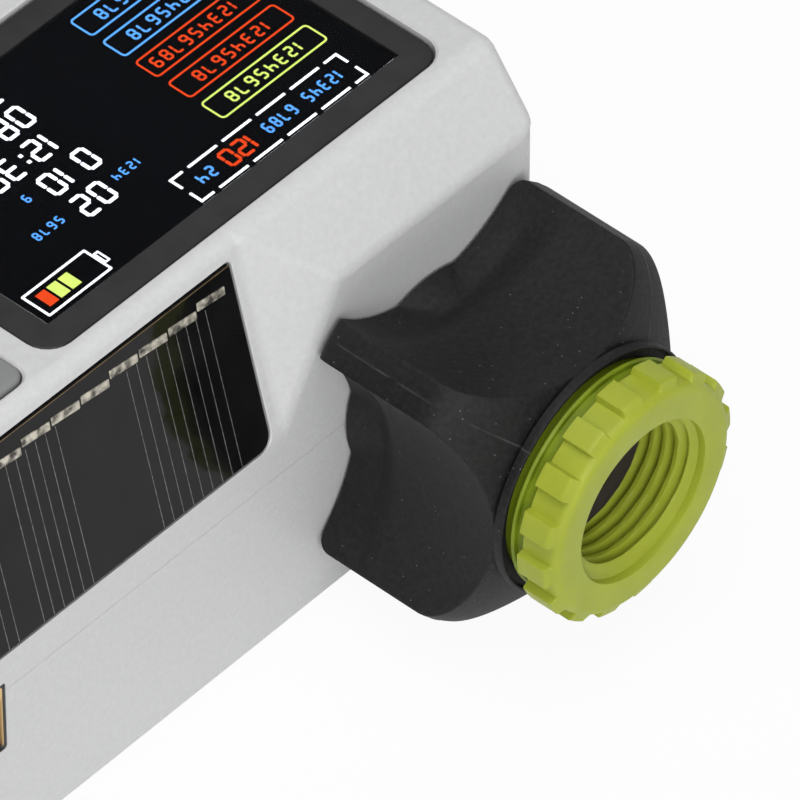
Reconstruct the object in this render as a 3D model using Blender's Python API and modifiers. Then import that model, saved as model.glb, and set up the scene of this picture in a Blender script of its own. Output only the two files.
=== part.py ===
"""Drip irrigation timer: a solar and battery powered tap timer, lying on its back.

+Z comes out of the display, +Y points to the tap inlet and +X runs the way the display is read.
Lengths are metres. The origin is under the middle of the whole object, on its back face.
"""
import math

import bmesh
import bpy
from mathutils import Matrix, Vector

# Overall sizes
BODY_WIDTH = 0.116
BODY_DEPTH = 0.072
BODY_HEIGHT = 0.0595
INLET_REACH = 0.034
OUTLET_REACH = 0.018
AXIS_HEIGHT = 0.0255

# Housing shells
WALL = 0.003
CORNER_RADIUS = 0.003
EDGE_RADIUS = 0.0015
CLEARANCE = 0.0003
OVERLAP = 0.0006
CHAMFER_RUN = 0.007
BEVEL_DROP = 0.0097
SOLAR_DROP = 0.0282
FACET_FROM_LEFT = 0.045
FACET_TOE = 0.0098
SOLAR_STEP = 0.0003
SEAL_WIDTH = 0.001
SEAL_HEIGHT = 0.0012

# Fasteners
BOSS_INSET = 0.0058
BOSS_RADIUS = 0.0036
BOSS_HEIGHT = 0.0145
SCREW_RADIUS = 0.0014
SCREW_HEAD_RADIUS = 0.00275
SCREW_HEAD_HEIGHT = 0.0022
SCREW_SEAT = 0.012
SCREW_BITE = 0.0075
SMALL_SCREW_RADIUS = 0.001
SMALL_HEAD_RADIUS = 0.0022
SMALL_HEAD_HEIGHT = 0.0015
SMALL_SCREW_BITE = 0.004

# Display
BEZEL_WIDTH = 0.0675
BEZEL_HEIGHT = 0.042
BEZEL_RADIUS = 0.0033
BEZEL_BORDER = 0.004
BEZEL_THICKNESS = 0.0018
BEZEL_SINK = 0.0005
BEZEL_FROM_LEFT = 0.006
BEZEL_FROM_INLET = 0.0097
LENS_THICKNESS = 0.0012
LENS_SINK = 0.00015
LCD_THICKNESS = 0.0028
LCD_MARGIN = 0.001
RIM_MARGIN = 0.0032
RIM_DEPTH = 0.0035

# Keys and their switches
KEY_COUNT = 4
KEY_HEIGHT = 0.009
KEY_GAP = 0.0018
KEY_RADIUS = 0.0024
KEY_FROM_BEZEL = 0.0046
KEY_FROM_RIGHT = 0.006
KEY_FROM_BEZEL_TOP = 0.0006
KEY_PROUD = 0.0006
KEY_FLANGE = 0.0007
KEY_FLANGE_THICKNESS = 0.001
KEY_TRAVEL = 0.0008
SWITCH_WIDTH = 0.006
SWITCH_HEIGHT = 0.003
PLUNGER_RADIUS = 0.0017
PLUNGER_HEIGHT = 0.0025
PLUNGER_PROUD = 0.0013

# Circuit board
BOARD_THICKNESS = 0.0016
BOARD_MARGIN = 0.0025
BOARD_FROM_INLET = 0.0084
STANDOFF_RADIUS = 0.0022
STANDOFF_INSET = 0.0025

# Solar panel
SOLAR_FROM_FACET = 0.002
SOLAR_FROM_RIGHT = 0.004
SOLAR_FROM_EDGE = 0.0027
SOLAR_HEIGHT = 0.0263
SOLAR_THICKNESS = 0.0012
SOLAR_RADIUS = 0.002
LEAD_RADIUS = 0.0008

# Charging socket
SOCKET_WIDTH = 0.0105
SOCKET_HEIGHT = 0.008
SOCKET_FROM_RIGHT = 0.0127
SOCKET_BELOW_SEAM = 0.0013
SOCKET_DEPTH = 0.0072
SOCKET_SINK = 0.0008
SOCKET_SHELL = 0.0007
TONGUE_THICKNESS = 0.0016

# Battery
CELL_RADIUS = 0.00915
CELL_LENGTH = 0.050
HOLDER_FLOOR = 0.0015
HOLDER_WALL = 0.0015
HOLDER_HEIGHT = 0.011
CONTACT_THICKNESS = 0.0006
CONTACT_WIDTH = 0.008
CONTACT_RISE = 0.0037

# Water line
WATER_FROM_LEFT = 0.0206
VALVE_FROM_INLET = 0.036
BALL_RADIUS = 0.009
BALL_BORE = 0.005
CHAMBER_GAP = 0.0012
VALVE_WALL = 0.0028
NECK_RADIUS = 0.010
WATERWAY_RADIUS = 0.006
SPIGOT_RADIUS = 0.0086
SPIGOT_BORE = 0.0065
SPIGOT_FLANGE_THICKNESS = 0.0021
SEAT_THICKNESS = 0.0035
SEAT_INNER = 0.0062
STEM_RADIUS = 0.003
STEM_BOSS_RADIUS = 0.0065
STEM_BOSS_HEIGHT = 0.0022
TANG_WIDTH = 0.0022
TANG_LENGTH = 0.005
TANG_DEPTH = 0.0026
OUTLET_FLANGE = 0.0146
OUTLET_FLANGE_THICKNESS = 0.002
OUTLET_THREAD = 0.0131
OUTLET_BORE = 0.0085

# Inlet nut and its adapter
NUT_LENGTH = 0.0268
NUT_GAP = 0.0005
WING_HEIGHT = 0.0106
MOUTH_LIP = 0.0018
LIP_LENGTH = 0.002
NUT_STRAIGHT = 0.016
DOME_LENGTH = 0.0086
NUT_BASE_ROUND = 0.002
NUT_COLLAR = 0.0142
NUT_COLLAR_LENGTH = 0.003
NUT_SEAT_DEPTH = 0.0087
SCOOP_COUNT = 4
WING_TIP_WIDTH = 0.0054
SCOOP_BASE_WALL = 0.0043
SCOOP_MID_WALL = 0.0016
SCOOP_MOUTH_WALL = 0.0012
SCOOP_STEP_START = 0.004
SCOOP_STEP_END = 0.0095
SCOOP_STEPS = 14
SCOOP_OVERRUN = 1.08
ADAPTER_THREAD = 0.0131
COLLAR_STEP = 0.0012
ADAPTER_COLLAR_LENGTH = 0.0037
FLANGE_STEP = 0.0022
ADAPTER_FLANGE_THICKNESS = 0.0053
ADAPTER_BORE = 0.0095
ADAPTER_MOUTH = 0.0109
ADAPTER_HOLE = 0.008
RIB_COUNT = 16
RIB_HEIGHT = 0.001
RIB_SHARE = 0.25
RIB_FLANK = 0.05
WASHER_THICKNESS = 0.0018
WASHER_BORE = 0.008
TAP_WASHER_DEPTH = 0.008
TAP_WASHER_THICKNESS = 0.002
TAP_WASHER_BORE = 0.006
FILTER_RIM = 0.0075
FILTER_RIM_THICKNESS = 0.0008
FILTER_DEPTH = 0.008
FILTER_WALL = 0.0006

# Valve drive
PRESSURE_ANGLE = math.radians(25)
BACKLASH = 0.00012
DEDENDUM = 1.25
OUTPUT_TEETH = 32
OUTPUT_MODULE = 0.0008
PINION_TEETH = 12
WHEEL_TEETH = 40
WHEEL_MODULE = 0.0006
OUTPUT_GEAR_THICKNESS = 0.0024
WHEEL_THICKNESS = 0.0018
MESH_SLACK = 0.0001
AXLE_RADIUS = 0.0014
RUNNING_GAP = 0.0002
SHAFT_RADIUS = 0.0012
SHAFT_ENGAGED = 0.006
PLATE_THICKNESS = 0.0018
PLATE_MARGIN = 0.004
MOTOR_RADIUS = 0.010
MOTOR_LENGTH = 0.0253
MOTOR_BOSS = 0.003
POST_RADIUS = 0.003
POST_OFFSET = 0.020
POST_BACK_OFFSET = 0.016

# Fineness of round shapes
ROUND_STEPS = 2
DOME_STEPS = 6
BALL_STEPS = 12
LEAD_STEPS = 4
FINE_SIDES = 36
ROUND_SIDES = 20
SMALL_SIDES = 12
SHARP_ANGLE = math.radians(40)
LEVEL_NORMAL = 0.9
MERGE_DISTANCE = 0.00001

# Places worked out from the sizes above
TOTAL_DEPTH = OUTLET_REACH + BODY_DEPTH + INLET_REACH
INLET_FACE = TOTAL_DEPTH / 2 - INLET_REACH
OUTLET_FACE = OUTLET_REACH - TOTAL_DEPTH / 2
LEFT_FACE = -BODY_WIDTH / 2
RIGHT_FACE = BODY_WIDTH / 2
CEILING = BODY_HEIGHT - WALL
WATER_X = LEFT_FACE + WATER_FROM_LEFT
VALVE_Y = INLET_FACE - VALVE_FROM_INLET
CHAMBER_RADIUS = BALL_RADIUS + CHAMBER_GAP
VALVE_RADIUS = CHAMBER_RADIUS + VALVE_WALL
STEM_BOSS_TOP = VALVE_RADIUS + STEM_BOSS_HEIGHT
PLATE_HEIGHT = AXIS_HEIGHT + VALVE_RADIUS + CLEARANCE
ADAPTER_COLLAR = ADAPTER_THREAD + COLLAR_STEP
ADAPTER_FLANGE = ADAPTER_COLLAR + FLANGE_STEP
SPIGOT_FLANGE = ADAPTER_THREAD - CLEARANCE
THREAD_BORE = ADAPTER_THREAD + CLEARANCE
MOUTH_BORE = ADAPTER_COLLAR + CLEARANCE
NUT_RADIUS = MOUTH_BORE + WING_HEIGHT
COMPOUND_X = WATER_X + (OUTPUT_TEETH + PINION_TEETH) * OUTPUT_MODULE / 2 + MESH_SLACK
MOTOR_X = COMPOUND_X + (WHEEL_TEETH + PINION_TEETH) * WHEEL_MODULE / 2 + MESH_SLACK
LEAD_X = MOTOR_X + MOTOR_RADIUS + PLATE_MARGIN + 2 * LEAD_RADIUS
TURN = {"X": (0, math.pi / 2, 0), "Y": (-math.pi / 2, 0, 0), "Z": (0, 0, 0)}
STEP = {"X": Vector((1, 0, 0)), "Y": Vector((0, 1, 0)), "Z": Vector((0, 0, 1))}


def clear_scene():
    """Remove whatever the open file holds."""
    for thing in list(bpy.data.objects):
        bpy.data.objects.remove(thing, do_unlink=True)


def collection(name):
    """A new collection under the scene's own one."""
    group = bpy.data.collections.new(name)
    bpy.context.scene.collection.children.link(group)
    return group


def finish(name, colour, roughness, metallic=0.0):
    """A plain Principled material."""
    material = bpy.data.materials.new(name)
    material.use_nodes = True
    shader = material.node_tree.nodes["Principled BSDF"]
    shader.inputs["Base Color"].default_value = (*colour, 1.0)
    shader.inputs["Roughness"].default_value = roughness
    shader.inputs["Metallic"].default_value = metallic
    return material


clear_scene()
PARTS = collection("drip_irrigation_timer")
CUTTERS = collection("cutters")
SHELL_GREY = finish("shell_grey", (0.62, 0.62, 0.62), 0.5)
NUT_BLACK = finish("nut_black", (0.025, 0.025, 0.025), 0.6)
ADAPTER_GREEN = finish("adapter_green", (0.42, 0.50, 0.04), 0.45)
BEZEL_BLACK = finish("bezel_black", (0.035, 0.035, 0.035), 0.45)
LENS_CLEAR = finish("lens_clear", (0.01, 0.01, 0.012), 0.08)
LCD_DARK = finish("lcd_dark", (0.01, 0.01, 0.015), 0.3)
KEY_GREY = finish("key_grey", (0.18, 0.18, 0.18), 0.6)
SOLAR_BLACK = finish("solar_black", (0.012, 0.012, 0.014), 0.12)
BOARD_GREEN = finish("board_green", (0.02, 0.16, 0.06), 0.4)
STEEL = finish("steel", (0.55, 0.55, 0.56), 0.35, 1.0)
BRASS = finish("brass", (0.72, 0.52, 0.24), 0.35, 1.0)
RUBBER = finish("rubber", (0.02, 0.02, 0.02), 0.8)
VALVE_WHITE = finish("valve_white", (0.70, 0.70, 0.68), 0.5)
GEAR_CREAM = finish("gear_cream", (0.72, 0.68, 0.55), 0.5)
CELL_BLUE = finish("cell_blue", (0.05, 0.16, 0.42), 0.4)
SWITCH_BLACK = finish("switch_black", (0.03, 0.03, 0.03), 0.5)
LEAD_RED = finish("lead_red", (0.45, 0.03, 0.03), 0.55)


def place(name, mesh, look, location=(0, 0, 0), turn=(0, 0, 0)):
    """Put a mesh in the scene: a part with its finish, or a hidden cutter if it has none."""
    thing = bpy.data.objects.new(name, mesh)
    thing.location = location
    thing.rotation_euler = turn
    if look is None:
        CUTTERS.objects.link(thing)
        thing.hide_render = True
        thing.display_type = "WIRE"
    else:
        PARTS.objects.link(thing)
        mesh.materials.append(look)
    return thing


def mesh_of(name, bm):
    """Turn a bmesh into a mesh and free it."""
    mesh = bpy.data.meshes.new(name)
    bm.to_mesh(mesh)
    bm.free()
    return mesh


def cut(target, cutter, operation="DIFFERENCE"):
    """Subtract, join or intersect another object."""
    modifier = target.modifiers.new(cutter.name, "BOOLEAN")
    modifier.operation = operation
    modifier.solver = "EXACT"
    modifier.object = cutter
    return target


def join(target, other):
    """Fuse another object into this one."""
    return cut(target, other, "UNION")


def box(name, low, high, look=None, rounding=0.0, upright=False, turn=(0, 0, 0), centre=None):
    """A block between two corners, with all its edges or only its upright ones rounded."""
    low = Vector(low)
    high = Vector(high)
    bm = bmesh.new()
    bmesh.ops.create_cube(bm, size=1.0)
    bmesh.ops.scale(bm, vec=high - low, verts=bm.verts)
    if rounding:
        edges = list(bm.edges)
        if upright:
            edges = [e for e in bm.edges if abs(e.verts[0].co.z - e.verts[1].co.z) > OVERLAP / 2]
        bmesh.ops.bevel(bm, geom=edges, offset=rounding, segments=ROUND_STEPS, profile=0.5, affect="EDGES")
    middle = (low + high) / 2 if centre is None else Vector(centre)
    return place(name, mesh_of(name, bm), look, middle, turn)


def rod(name, base, axis, radius, length, look=None, sides=ROUND_SIDES):
    """A round bar that starts at a point and runs along an axis."""
    bm = bmesh.new()
    bmesh.ops.create_cone(bm, cap_ends=True, segments=sides, radius1=radius, radius2=radius, depth=length)
    mesh = mesh_of(name, bm)
    mesh.shade_smooth()
    mesh.set_sharp_from_angle(angle=SHARP_ANGLE)
    return place(name, mesh, look, Vector(base) + STEP[axis] * (length / 2), TURN[axis])


def turned(name, profile, base, axis, look=None, sides=ROUND_SIDES):
    """A profile of (radius, height) points spun about an axis.

    The points run down the outer side. A profile that starts and ends on the axis is a solid bar,
    and any other is a closed ring.
    """
    bm = bmesh.new()
    verts = [bm.verts.new((radius, 0, height)) for radius, height in profile]
    for first, second in zip(verts, verts[1:]):
        bm.edges.new((first, second))
    if profile[0][0] > 0:
        bm.edges.new((verts[-1], verts[0]))
    thing = place(name, mesh_of(name, bm), look, base, TURN[axis])
    spin = thing.modifiers.new("spin", "SCREW")
    spin.axis = "Z"
    spin.angle = 2 * math.pi
    spin.steps = sides
    spin.render_steps = sides
    spin.use_merge_vertices = True
    spin.merge_threshold = MERGE_DISTANCE
    spin.use_smooth_shade = True
    return thing


def flat_solid(name, outline, base, thickness, axis, look=None):
    """A flat outline given a thickness, standing on its base point along an axis."""
    curve = bpy.data.curves.new(name, "CURVE")
    curve.dimensions = "2D"
    curve.fill_mode = "BOTH"
    curve.extrude = thickness / 2
    spline = curve.splines.new("POLY")
    spline.points.add(len(outline) - 1)
    for point, (x, y) in zip(spline.points, outline):
        point.co = (x, y, 0, 1)
    spline.use_cyclic_u = True
    guide = bpy.data.objects.new(name + "_outline", curve)
    CUTTERS.objects.link(guide)
    graph = bpy.context.evaluated_depsgraph_get()
    mesh = bpy.data.meshes.new_from_object(guide.evaluated_get(graph))
    bpy.data.objects.remove(guide, do_unlink=True)
    bm = bmesh.new()
    bm.from_mesh(mesh)
    bmesh.ops.remove_doubles(bm, verts=bm.verts, dist=MERGE_DISTANCE / 10)
    bm.to_mesh(mesh)
    bm.free()
    mesh.name = name
    mesh.materials.clear()
    return place(name, mesh, look, Vector(base) + STEP[axis] * (thickness / 2), TURN[axis])


def lead(name, points, look):
    """A two core lead: a round tube through its points."""
    curve = bpy.data.curves.new(name, "CURVE")
    curve.dimensions = "3D"
    curve.bevel_depth = LEAD_RADIUS
    curve.bevel_resolution = 2
    curve.use_fill_caps = True
    spline = curve.splines.new("POLY")
    spline.points.add(len(points) - 1)
    for point, position in zip(spline.points, points):
        point.co = (*position, 1)
    curve.materials.append(look)
    thing = bpy.data.objects.new(name, curve)
    PARTS.objects.link(thing)
    return thing


def smooth_route(*stops):
    """Points on a smooth curve through the stops."""
    stops = [Vector(stop) for stop in stops]
    padded = [stops[0] * 2 - stops[1]] + stops + [stops[-1] * 2 - stops[-2]]
    points = []
    for a, b, c, d in zip(padded, padded[1:], padded[2:], padded[3:]):
        for step in range(LEAD_STEPS):
            t = step / LEAD_STEPS
            points.append(0.5 * (2 * b + (c - a) * t + (2 * a - 5 * b + 4 * c - d) * t ** 2
                                 + (3 * b - a - 3 * c + d) * t ** 3))
    points.append(stops[-1])
    return points


def empty(name, location):
    """A guide that carries the pieces turning about one axis."""
    guide = bpy.data.objects.new(name, None)
    guide.location = location
    guide.empty_display_size = WALL
    PARTS.objects.link(guide)
    return guide


def carry(guide, *things):
    """Parent pieces to a guide and keep them where they are."""
    for thing in things:
        thing.parent = guide
        thing.location = thing.location - guide.location


# Housing: two shells that meet on the plane of the water axis
EDGE_Y = INLET_FACE - CHAMFER_RUN
FACET_X = LEFT_FACE + FACET_FROM_LEFT
BEVEL_TOP = Vector((FACET_X, EDGE_Y, BODY_HEIGHT))
FACET_TOP = Vector((FACET_X, EDGE_Y - SOLAR_STEP, BODY_HEIGHT))
FACET_SIDE = Vector((FACET_X - FACET_TOE, INLET_FACE, BODY_HEIGHT - BEVEL_DROP))
FACET_FOOT = Vector((FACET_X, INLET_FACE, BODY_HEIGHT - SOLAR_DROP))
BEVEL_NORMAL = Vector((0, BEVEL_DROP, CHAMFER_RUN)).normalized()
SOLAR_NORMAL = Vector((0, SOLAR_DROP, CHAMFER_RUN + SOLAR_STEP)).normalized()
SOLAR_DOWN = Vector((0, CHAMFER_RUN + SOLAR_STEP, -SOLAR_DROP)).normalized()
FACET_NORMAL = (FACET_FOOT - FACET_TOP).cross(FACET_SIDE - FACET_TOP).normalized()
REACH = TOTAL_DEPTH


def slice_off(bm, point, normal):
    """Take off what lies on the outer side of a plane and close the cut."""
    geometry = bm.verts[:] + bm.edges[:] + bm.faces[:]
    result = bmesh.ops.bisect_plane(bm, geom=geometry, plane_co=point, plane_no=normal, clear_outer=True)
    rim = [item for item in result["geom_cut"] if isinstance(item, bmesh.types.BMEdge)]
    bmesh.ops.contextual_create(bm, geom=rim)
    bmesh.ops.recalc_face_normals(bm, faces=bm.faces)


def housing_block(name, inset, seam, side, look=None):
    """The housing's form drawn in by an inset, kept above the seam (side 1) or below it (side -1)."""
    low = Vector((LEFT_FACE + inset, OUTLET_FACE + inset, inset))
    high = Vector((RIGHT_FACE - inset, INLET_FACE - inset, BODY_HEIGHT - inset))
    bm = bmesh.new()
    bmesh.ops.create_cube(bm, size=1.0)
    bmesh.ops.scale(bm, vec=high - low, verts=bm.verts)
    bmesh.ops.translate(bm, vec=(low + high) / 2, verts=bm.verts)
    upright = [e for e in bm.edges if abs(e.verts[0].co.z - e.verts[1].co.z) > inset + OVERLAP]
    corner = max(CORNER_RADIUS - inset, EDGE_RADIUS)
    bmesh.ops.bevel(bm, geom=upright, offset=corner, segments=ROUND_STEPS + 1, profile=0.5, affect="EDGES")
    ends = [f for f in bm.faces if abs(f.normal.z) > LEVEL_NORMAL]
    rims = {e for f in ends for e in f.edges}
    bmesh.ops.bevel(bm, geom=list(rims), offset=EDGE_RADIUS / 2 if inset else EDGE_RADIUS,
                    segments=ROUND_STEPS, profile=0.5, affect="EDGES")
    slice_off(bm, BEVEL_TOP - BEVEL_NORMAL * inset, BEVEL_NORMAL)
    slice_off(bm, STEP["Z"] * seam, STEP["Z"] * -side)
    block = place(name, mesh_of(name, bm), look)

    wedge = bmesh.new()
    bmesh.ops.create_cube(wedge, size=2 * REACH)
    bmesh.ops.translate(wedge, vec=FACET_TOP, verts=wedge.verts)
    slice_off(wedge, FACET_TOP - SOLAR_NORMAL * inset, -SOLAR_NORMAL)
    slice_off(wedge, FACET_TOP - FACET_NORMAL * inset, -FACET_NORMAL)
    return cut(block, place(name + "_wedge", mesh_of(name + "_wedge", wedge), None))


def ring_frame(name, low, high, border, rounding, look=None):
    """A flat frame: a block with a smaller upright opening through it."""
    low = Vector(low)
    high = Vector(high)
    frame = box(name, low, high, look, rounding, upright=True)
    inner_low = (low.x + border, low.y + border, low.z - OVERLAP)
    inner_high = (high.x - border, high.y - border, high.z + OVERLAP)
    return cut(frame, box(name + "_opening", inner_low, inner_high, rounding=EDGE_RADIUS / 2, upright=True))


seam_low = AXIS_HEIGHT - CLEARANCE / 2
seam_high = AXIS_HEIGHT + CLEARANCE / 2
front = housing_block("front_housing", 0.0, seam_high, 1, SHELL_GREY)
rear = housing_block("rear_housing", 0.0, seam_low, -1, SHELL_GREY)
cut(front, housing_block("front_cavity", WALL, seam_high - WALL, 1))
cut(rear, housing_block("rear_cavity", WALL, seam_low + WALL, -1))

# Screw bosses in the four corners, in both shells
corners = [(x, y) for x in (LEFT_FACE + BOSS_INSET, RIGHT_FACE - BOSS_INSET)
           for y in (OUTLET_FACE + BOSS_INSET, INLET_FACE - BOSS_INSET)]
for number, (x, y) in enumerate(corners, 1):
    boss_low = seam_high + CLEARANCE / 2
    join(front, rod(f"front_boss_{number}", (x, y, boss_low), "Z", BOSS_RADIUS, BOSS_HEIGHT))
    rear_floor = WALL / 2
    rear_boss = seam_low - CLEARANCE / 2 - rear_floor
    join(rear, rod(f"rear_boss_{number}", (x, y, rear_floor), "Z", BOSS_RADIUS, rear_boss))
for number, (x, y) in enumerate(corners, 1):
    pilot = SCREW_RADIUS + CLEARANCE
    bite_top = AXIS_HEIGHT + SCREW_BITE
    hole = rod(f"screw_hole_{number}", (x, y, -OVERLAP), "Z", pilot, bite_top + 2 * OVERLAP,
               sides=SMALL_SIDES)
    well = rod(f"screw_well_{number}", (x, y, -OVERLAP), "Z", SCREW_HEAD_RADIUS + 2 * CLEARANCE,
               SCREW_SEAT + OVERLAP)
    cut(front, hole)
    cut(rear, hole)
    cut(rear, well)
    head_top = SCREW_SEAT - CLEARANCE
    head_low = head_top - SCREW_HEAD_HEIGHT
    turned(f"housing_screw_{number}",
           [(0, bite_top), (SCREW_RADIUS, bite_top - SCREW_RADIUS), (SCREW_RADIUS, head_top),
            (SCREW_HEAD_RADIUS, head_top), (SCREW_HEAD_RADIUS, head_low), (0, head_low)],
           (x, y, 0), "Z", STEEL, SMALL_SIDES)

# Display opening: a sunk pocket for the bezel, and a rim behind it that carries the LCD
bezel_left = LEFT_FACE + BEZEL_FROM_LEFT
bezel_right = bezel_left + BEZEL_WIDTH
bezel_top = INLET_FACE - BEZEL_FROM_INLET
bezel_bottom = bezel_top - BEZEL_HEIGHT
bezel_high = BODY_HEIGHT - BEZEL_SINK
bezel_low = bezel_high - BEZEL_THICKNESS
pocket_floor = bezel_low - CLEARANCE
rim_low = pocket_floor - RIM_DEPTH
glass_border = BEZEL_BORDER - LCD_MARGIN
rim_top = min(bezel_top + RIM_MARGIN / 2, EDGE_Y - OVERLAP)
join(front, box("display_rim", (bezel_left - RIM_MARGIN, bezel_bottom - RIM_MARGIN, rim_low),
                (bezel_right + RIM_MARGIN / 2, rim_top, CEILING + OVERLAP)))
cut(front, box("display_pocket", (bezel_left - CLEARANCE, bezel_bottom - CLEARANCE, pocket_floor),
               (bezel_right + CLEARANCE, bezel_top + CLEARANCE, BODY_HEIGHT + OVERLAP),
               rounding=BEZEL_RADIUS + CLEARANCE, upright=True))
lcd_low_corner = (bezel_left + glass_border, bezel_bottom + glass_border)
lcd_high_corner = (bezel_right - glass_border, bezel_top - glass_border)
cut(front, box("lcd_opening",
               (lcd_low_corner[0] - CLEARANCE, lcd_low_corner[1] - CLEARANCE, rim_low - OVERLAP),
               (lcd_high_corner[0] + CLEARANCE, lcd_high_corner[1] + CLEARANCE, BODY_HEIGHT + OVERLAP)))
ring_frame("display_bezel", (bezel_left, bezel_bottom, bezel_low), (bezel_right, bezel_top, bezel_high),
           BEZEL_BORDER - CLEARANCE, BEZEL_RADIUS, BEZEL_BLACK)
lens_high = bezel_high - LENS_SINK
lens_low = lens_high - LENS_THICKNESS
box("screen_lens", (bezel_left + BEZEL_BORDER, bezel_bottom + BEZEL_BORDER, lens_low),
    (bezel_right - BEZEL_BORDER, bezel_top - BEZEL_BORDER, lens_high), LENS_CLEAR)
lcd_high = lens_low - CLEARANCE
lcd_low = min(lcd_high, pocket_floor) - LCD_THICKNESS
lcd = box("lcd_module", (*lcd_low_corner, lcd_low), (*lcd_high_corner, pocket_floor), LCD_DARK)
join(lcd, box("lcd_face", (bezel_left + BEZEL_BORDER, bezel_bottom + BEZEL_BORDER, pocket_floor - OVERLAP),
              (bezel_right - BEZEL_BORDER, bezel_top - BEZEL_BORDER, lcd_high)))

# Circuit board, hung from the front shell on standoffs and screwed from behind
flange_top = CEILING - CLEARANCE
flange_low = flange_top - KEY_FLANGE_THICKNESS
plunger_top = flange_low - CLEARANCE
switch_top = plunger_top - PLUNGER_PROUD
switch_low = switch_top - SWITCH_HEIGHT
board_top = switch_low - CLEARANCE
board_low = board_top - BOARD_THICKNESS
board_left = LEFT_FACE + WALL + BOARD_MARGIN
board_right = RIGHT_FACE - WALL - BOARD_MARGIN
board_front = INLET_FACE - BOARD_FROM_INLET
board_back = OUTLET_FACE + WALL + BOARD_MARGIN
board = box("main_board", (board_left, board_back, board_low), (board_right, board_front, board_top),
            BOARD_GREEN, rounding=EDGE_RADIUS, upright=True)
row_back = board_back + STANDOFF_INSET
row_front = lcd_high_corner[1] + CLEARANCE + STANDOFF_RADIUS
column_left = board_left + STANDOFF_INSET + OVERLAP
column_right = board_right - STANDOFF_INSET - OVERLAP
standoffs = [(column_left, row_back), (column_right, row_back), (column_left, row_front),
             (bezel_right - STANDOFF_INSET, row_front)]
for number, (x, y) in enumerate(standoffs, 1):
    join(front, rod(f"standoff_{number}", (x, y, board_top + CLEARANCE), "Z", STANDOFF_RADIUS,
                    CEILING + OVERLAP - board_top - CLEARANCE, sides=SMALL_SIDES))
    depth = SMALL_SCREW_BITE + BOARD_THICKNESS
    pilot = rod(f"board_hole_{number}", (x, y, board_low - OVERLAP), "Z", SMALL_SCREW_RADIUS + CLEARANCE,
                depth + 2 * OVERLAP, sides=SMALL_SIDES)
    cut(front, pilot)
    cut(board, pilot)
    seat = board_low - CLEARANCE
    turned(f"board_screw_{number}",
           [(0, board_low + depth), (SMALL_SCREW_RADIUS, board_low + depth - SMALL_SCREW_RADIUS),
            (SMALL_SCREW_RADIUS, seat), (SMALL_HEAD_RADIUS, seat),
            (SMALL_HEAD_RADIUS, seat - SMALL_HEAD_HEIGHT / 2), (0, seat - SMALL_HEAD_HEIGHT)],
           (x, y, 0), "Z", STEEL, SMALL_SIDES)

# Keys: caps in a column beside the display, each over a tactile switch on the board
key_left = bezel_right + KEY_FROM_BEZEL
key_right = RIGHT_FACE - KEY_FROM_RIGHT
for number in range(1, KEY_COUNT + 1):
    top = bezel_top - KEY_FROM_BEZEL_TOP - (number - 1) * (KEY_HEIGHT + KEY_GAP)
    bottom = top - KEY_HEIGHT
    cut(front, box(f"key_hole_{number}", (key_left - CLEARANCE, bottom - CLEARANCE, flange_top - OVERLAP),
                   (key_right + CLEARANCE, top + CLEARANCE, BODY_HEIGHT + OVERLAP),
                   rounding=KEY_RADIUS + CLEARANCE, upright=True))
    cap = box(f"key_{number}", (key_left, bottom, flange_low + OVERLAP),
              (key_right, top, BODY_HEIGHT + KEY_PROUD), KEY_GREY, rounding=KEY_RADIUS, upright=True)
    join(cap, box(f"key_flange_{number}", (key_left - KEY_FLANGE, bottom - KEY_FLANGE, flange_low),
                  (key_right + KEY_FLANGE, top + KEY_FLANGE, flange_top)))
    middle = Vector(((key_left + key_right) / 2, (top + bottom) / 2, 0))
    half = Vector((SWITCH_WIDTH / 2, SWITCH_WIDTH / 2, 0))
    switch = box(f"key_switch_{number}", middle - half + STEP["Z"] * switch_low,
                 middle + half + STEP["Z"] * switch_top, SWITCH_BLACK)
    well_floor = plunger_top - PLUNGER_HEIGHT - KEY_TRAVEL - CLEARANCE
    cut(switch, rod(f"plunger_well_{number}", middle + STEP["Z"] * well_floor, "Z",
                    PLUNGER_RADIUS + CLEARANCE, SWITCH_HEIGHT, sides=SMALL_SIDES))
    plunger_foot = middle + STEP["Z"] * (plunger_top - PLUNGER_HEIGHT)
    rod(f"switch_plunger_{number}", plunger_foot, "Z", PLUNGER_RADIUS, PLUNGER_HEIGHT, RUBBER, SMALL_SIDES)

# Solar panel, bedded in a shallow pocket on the sloping shoulder
solar_left = FACET_X + SOLAR_FROM_FACET
solar_right = RIGHT_FACE - SOLAR_FROM_RIGHT
slope = math.atan2(SOLAR_DROP, CHAMFER_RUN + SOLAR_STEP)
solar_turn = (-slope, 0, 0)
pocket_depth = SOLAR_THICKNESS + CLEARANCE
slope_edge = Vector(((solar_left + solar_right) / 2, FACET_TOP.y, BODY_HEIGHT))
slope_middle = slope_edge + SOLAR_DOWN * (SOLAR_FROM_EDGE + SOLAR_HEIGHT / 2)
panel_size = Vector((solar_right - solar_left, SOLAR_HEIGHT, SOLAR_THICKNESS))
pocket_size = Vector((panel_size.x + 2 * CLEARANCE, panel_size.y + 2 * CLEARANCE, 2 * pocket_depth))
cut(front, box("solar_pocket", -pocket_size / 2, pocket_size / 2, rounding=SOLAR_RADIUS + CLEARANCE,
               upright=True, turn=solar_turn, centre=slope_middle))
panel_middle = slope_middle - SOLAR_NORMAL * (SOLAR_THICKNESS / 2)
box("solar_panel", -panel_size / 2, panel_size / 2, SOLAR_BLACK, rounding=SOLAR_RADIUS, upright=True,
    turn=solar_turn, centre=panel_middle)
lead_mouth = slope_middle - SOLAR_NORMAL * (pocket_depth + WALL)
lead_gap = LEAD_RADIUS + CLEARANCE
lead_hole = rod("solar_lead_hole", -STEP["Z"] * WALL, "Z", lead_gap, 2 * WALL, sides=SMALL_SIDES)
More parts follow.
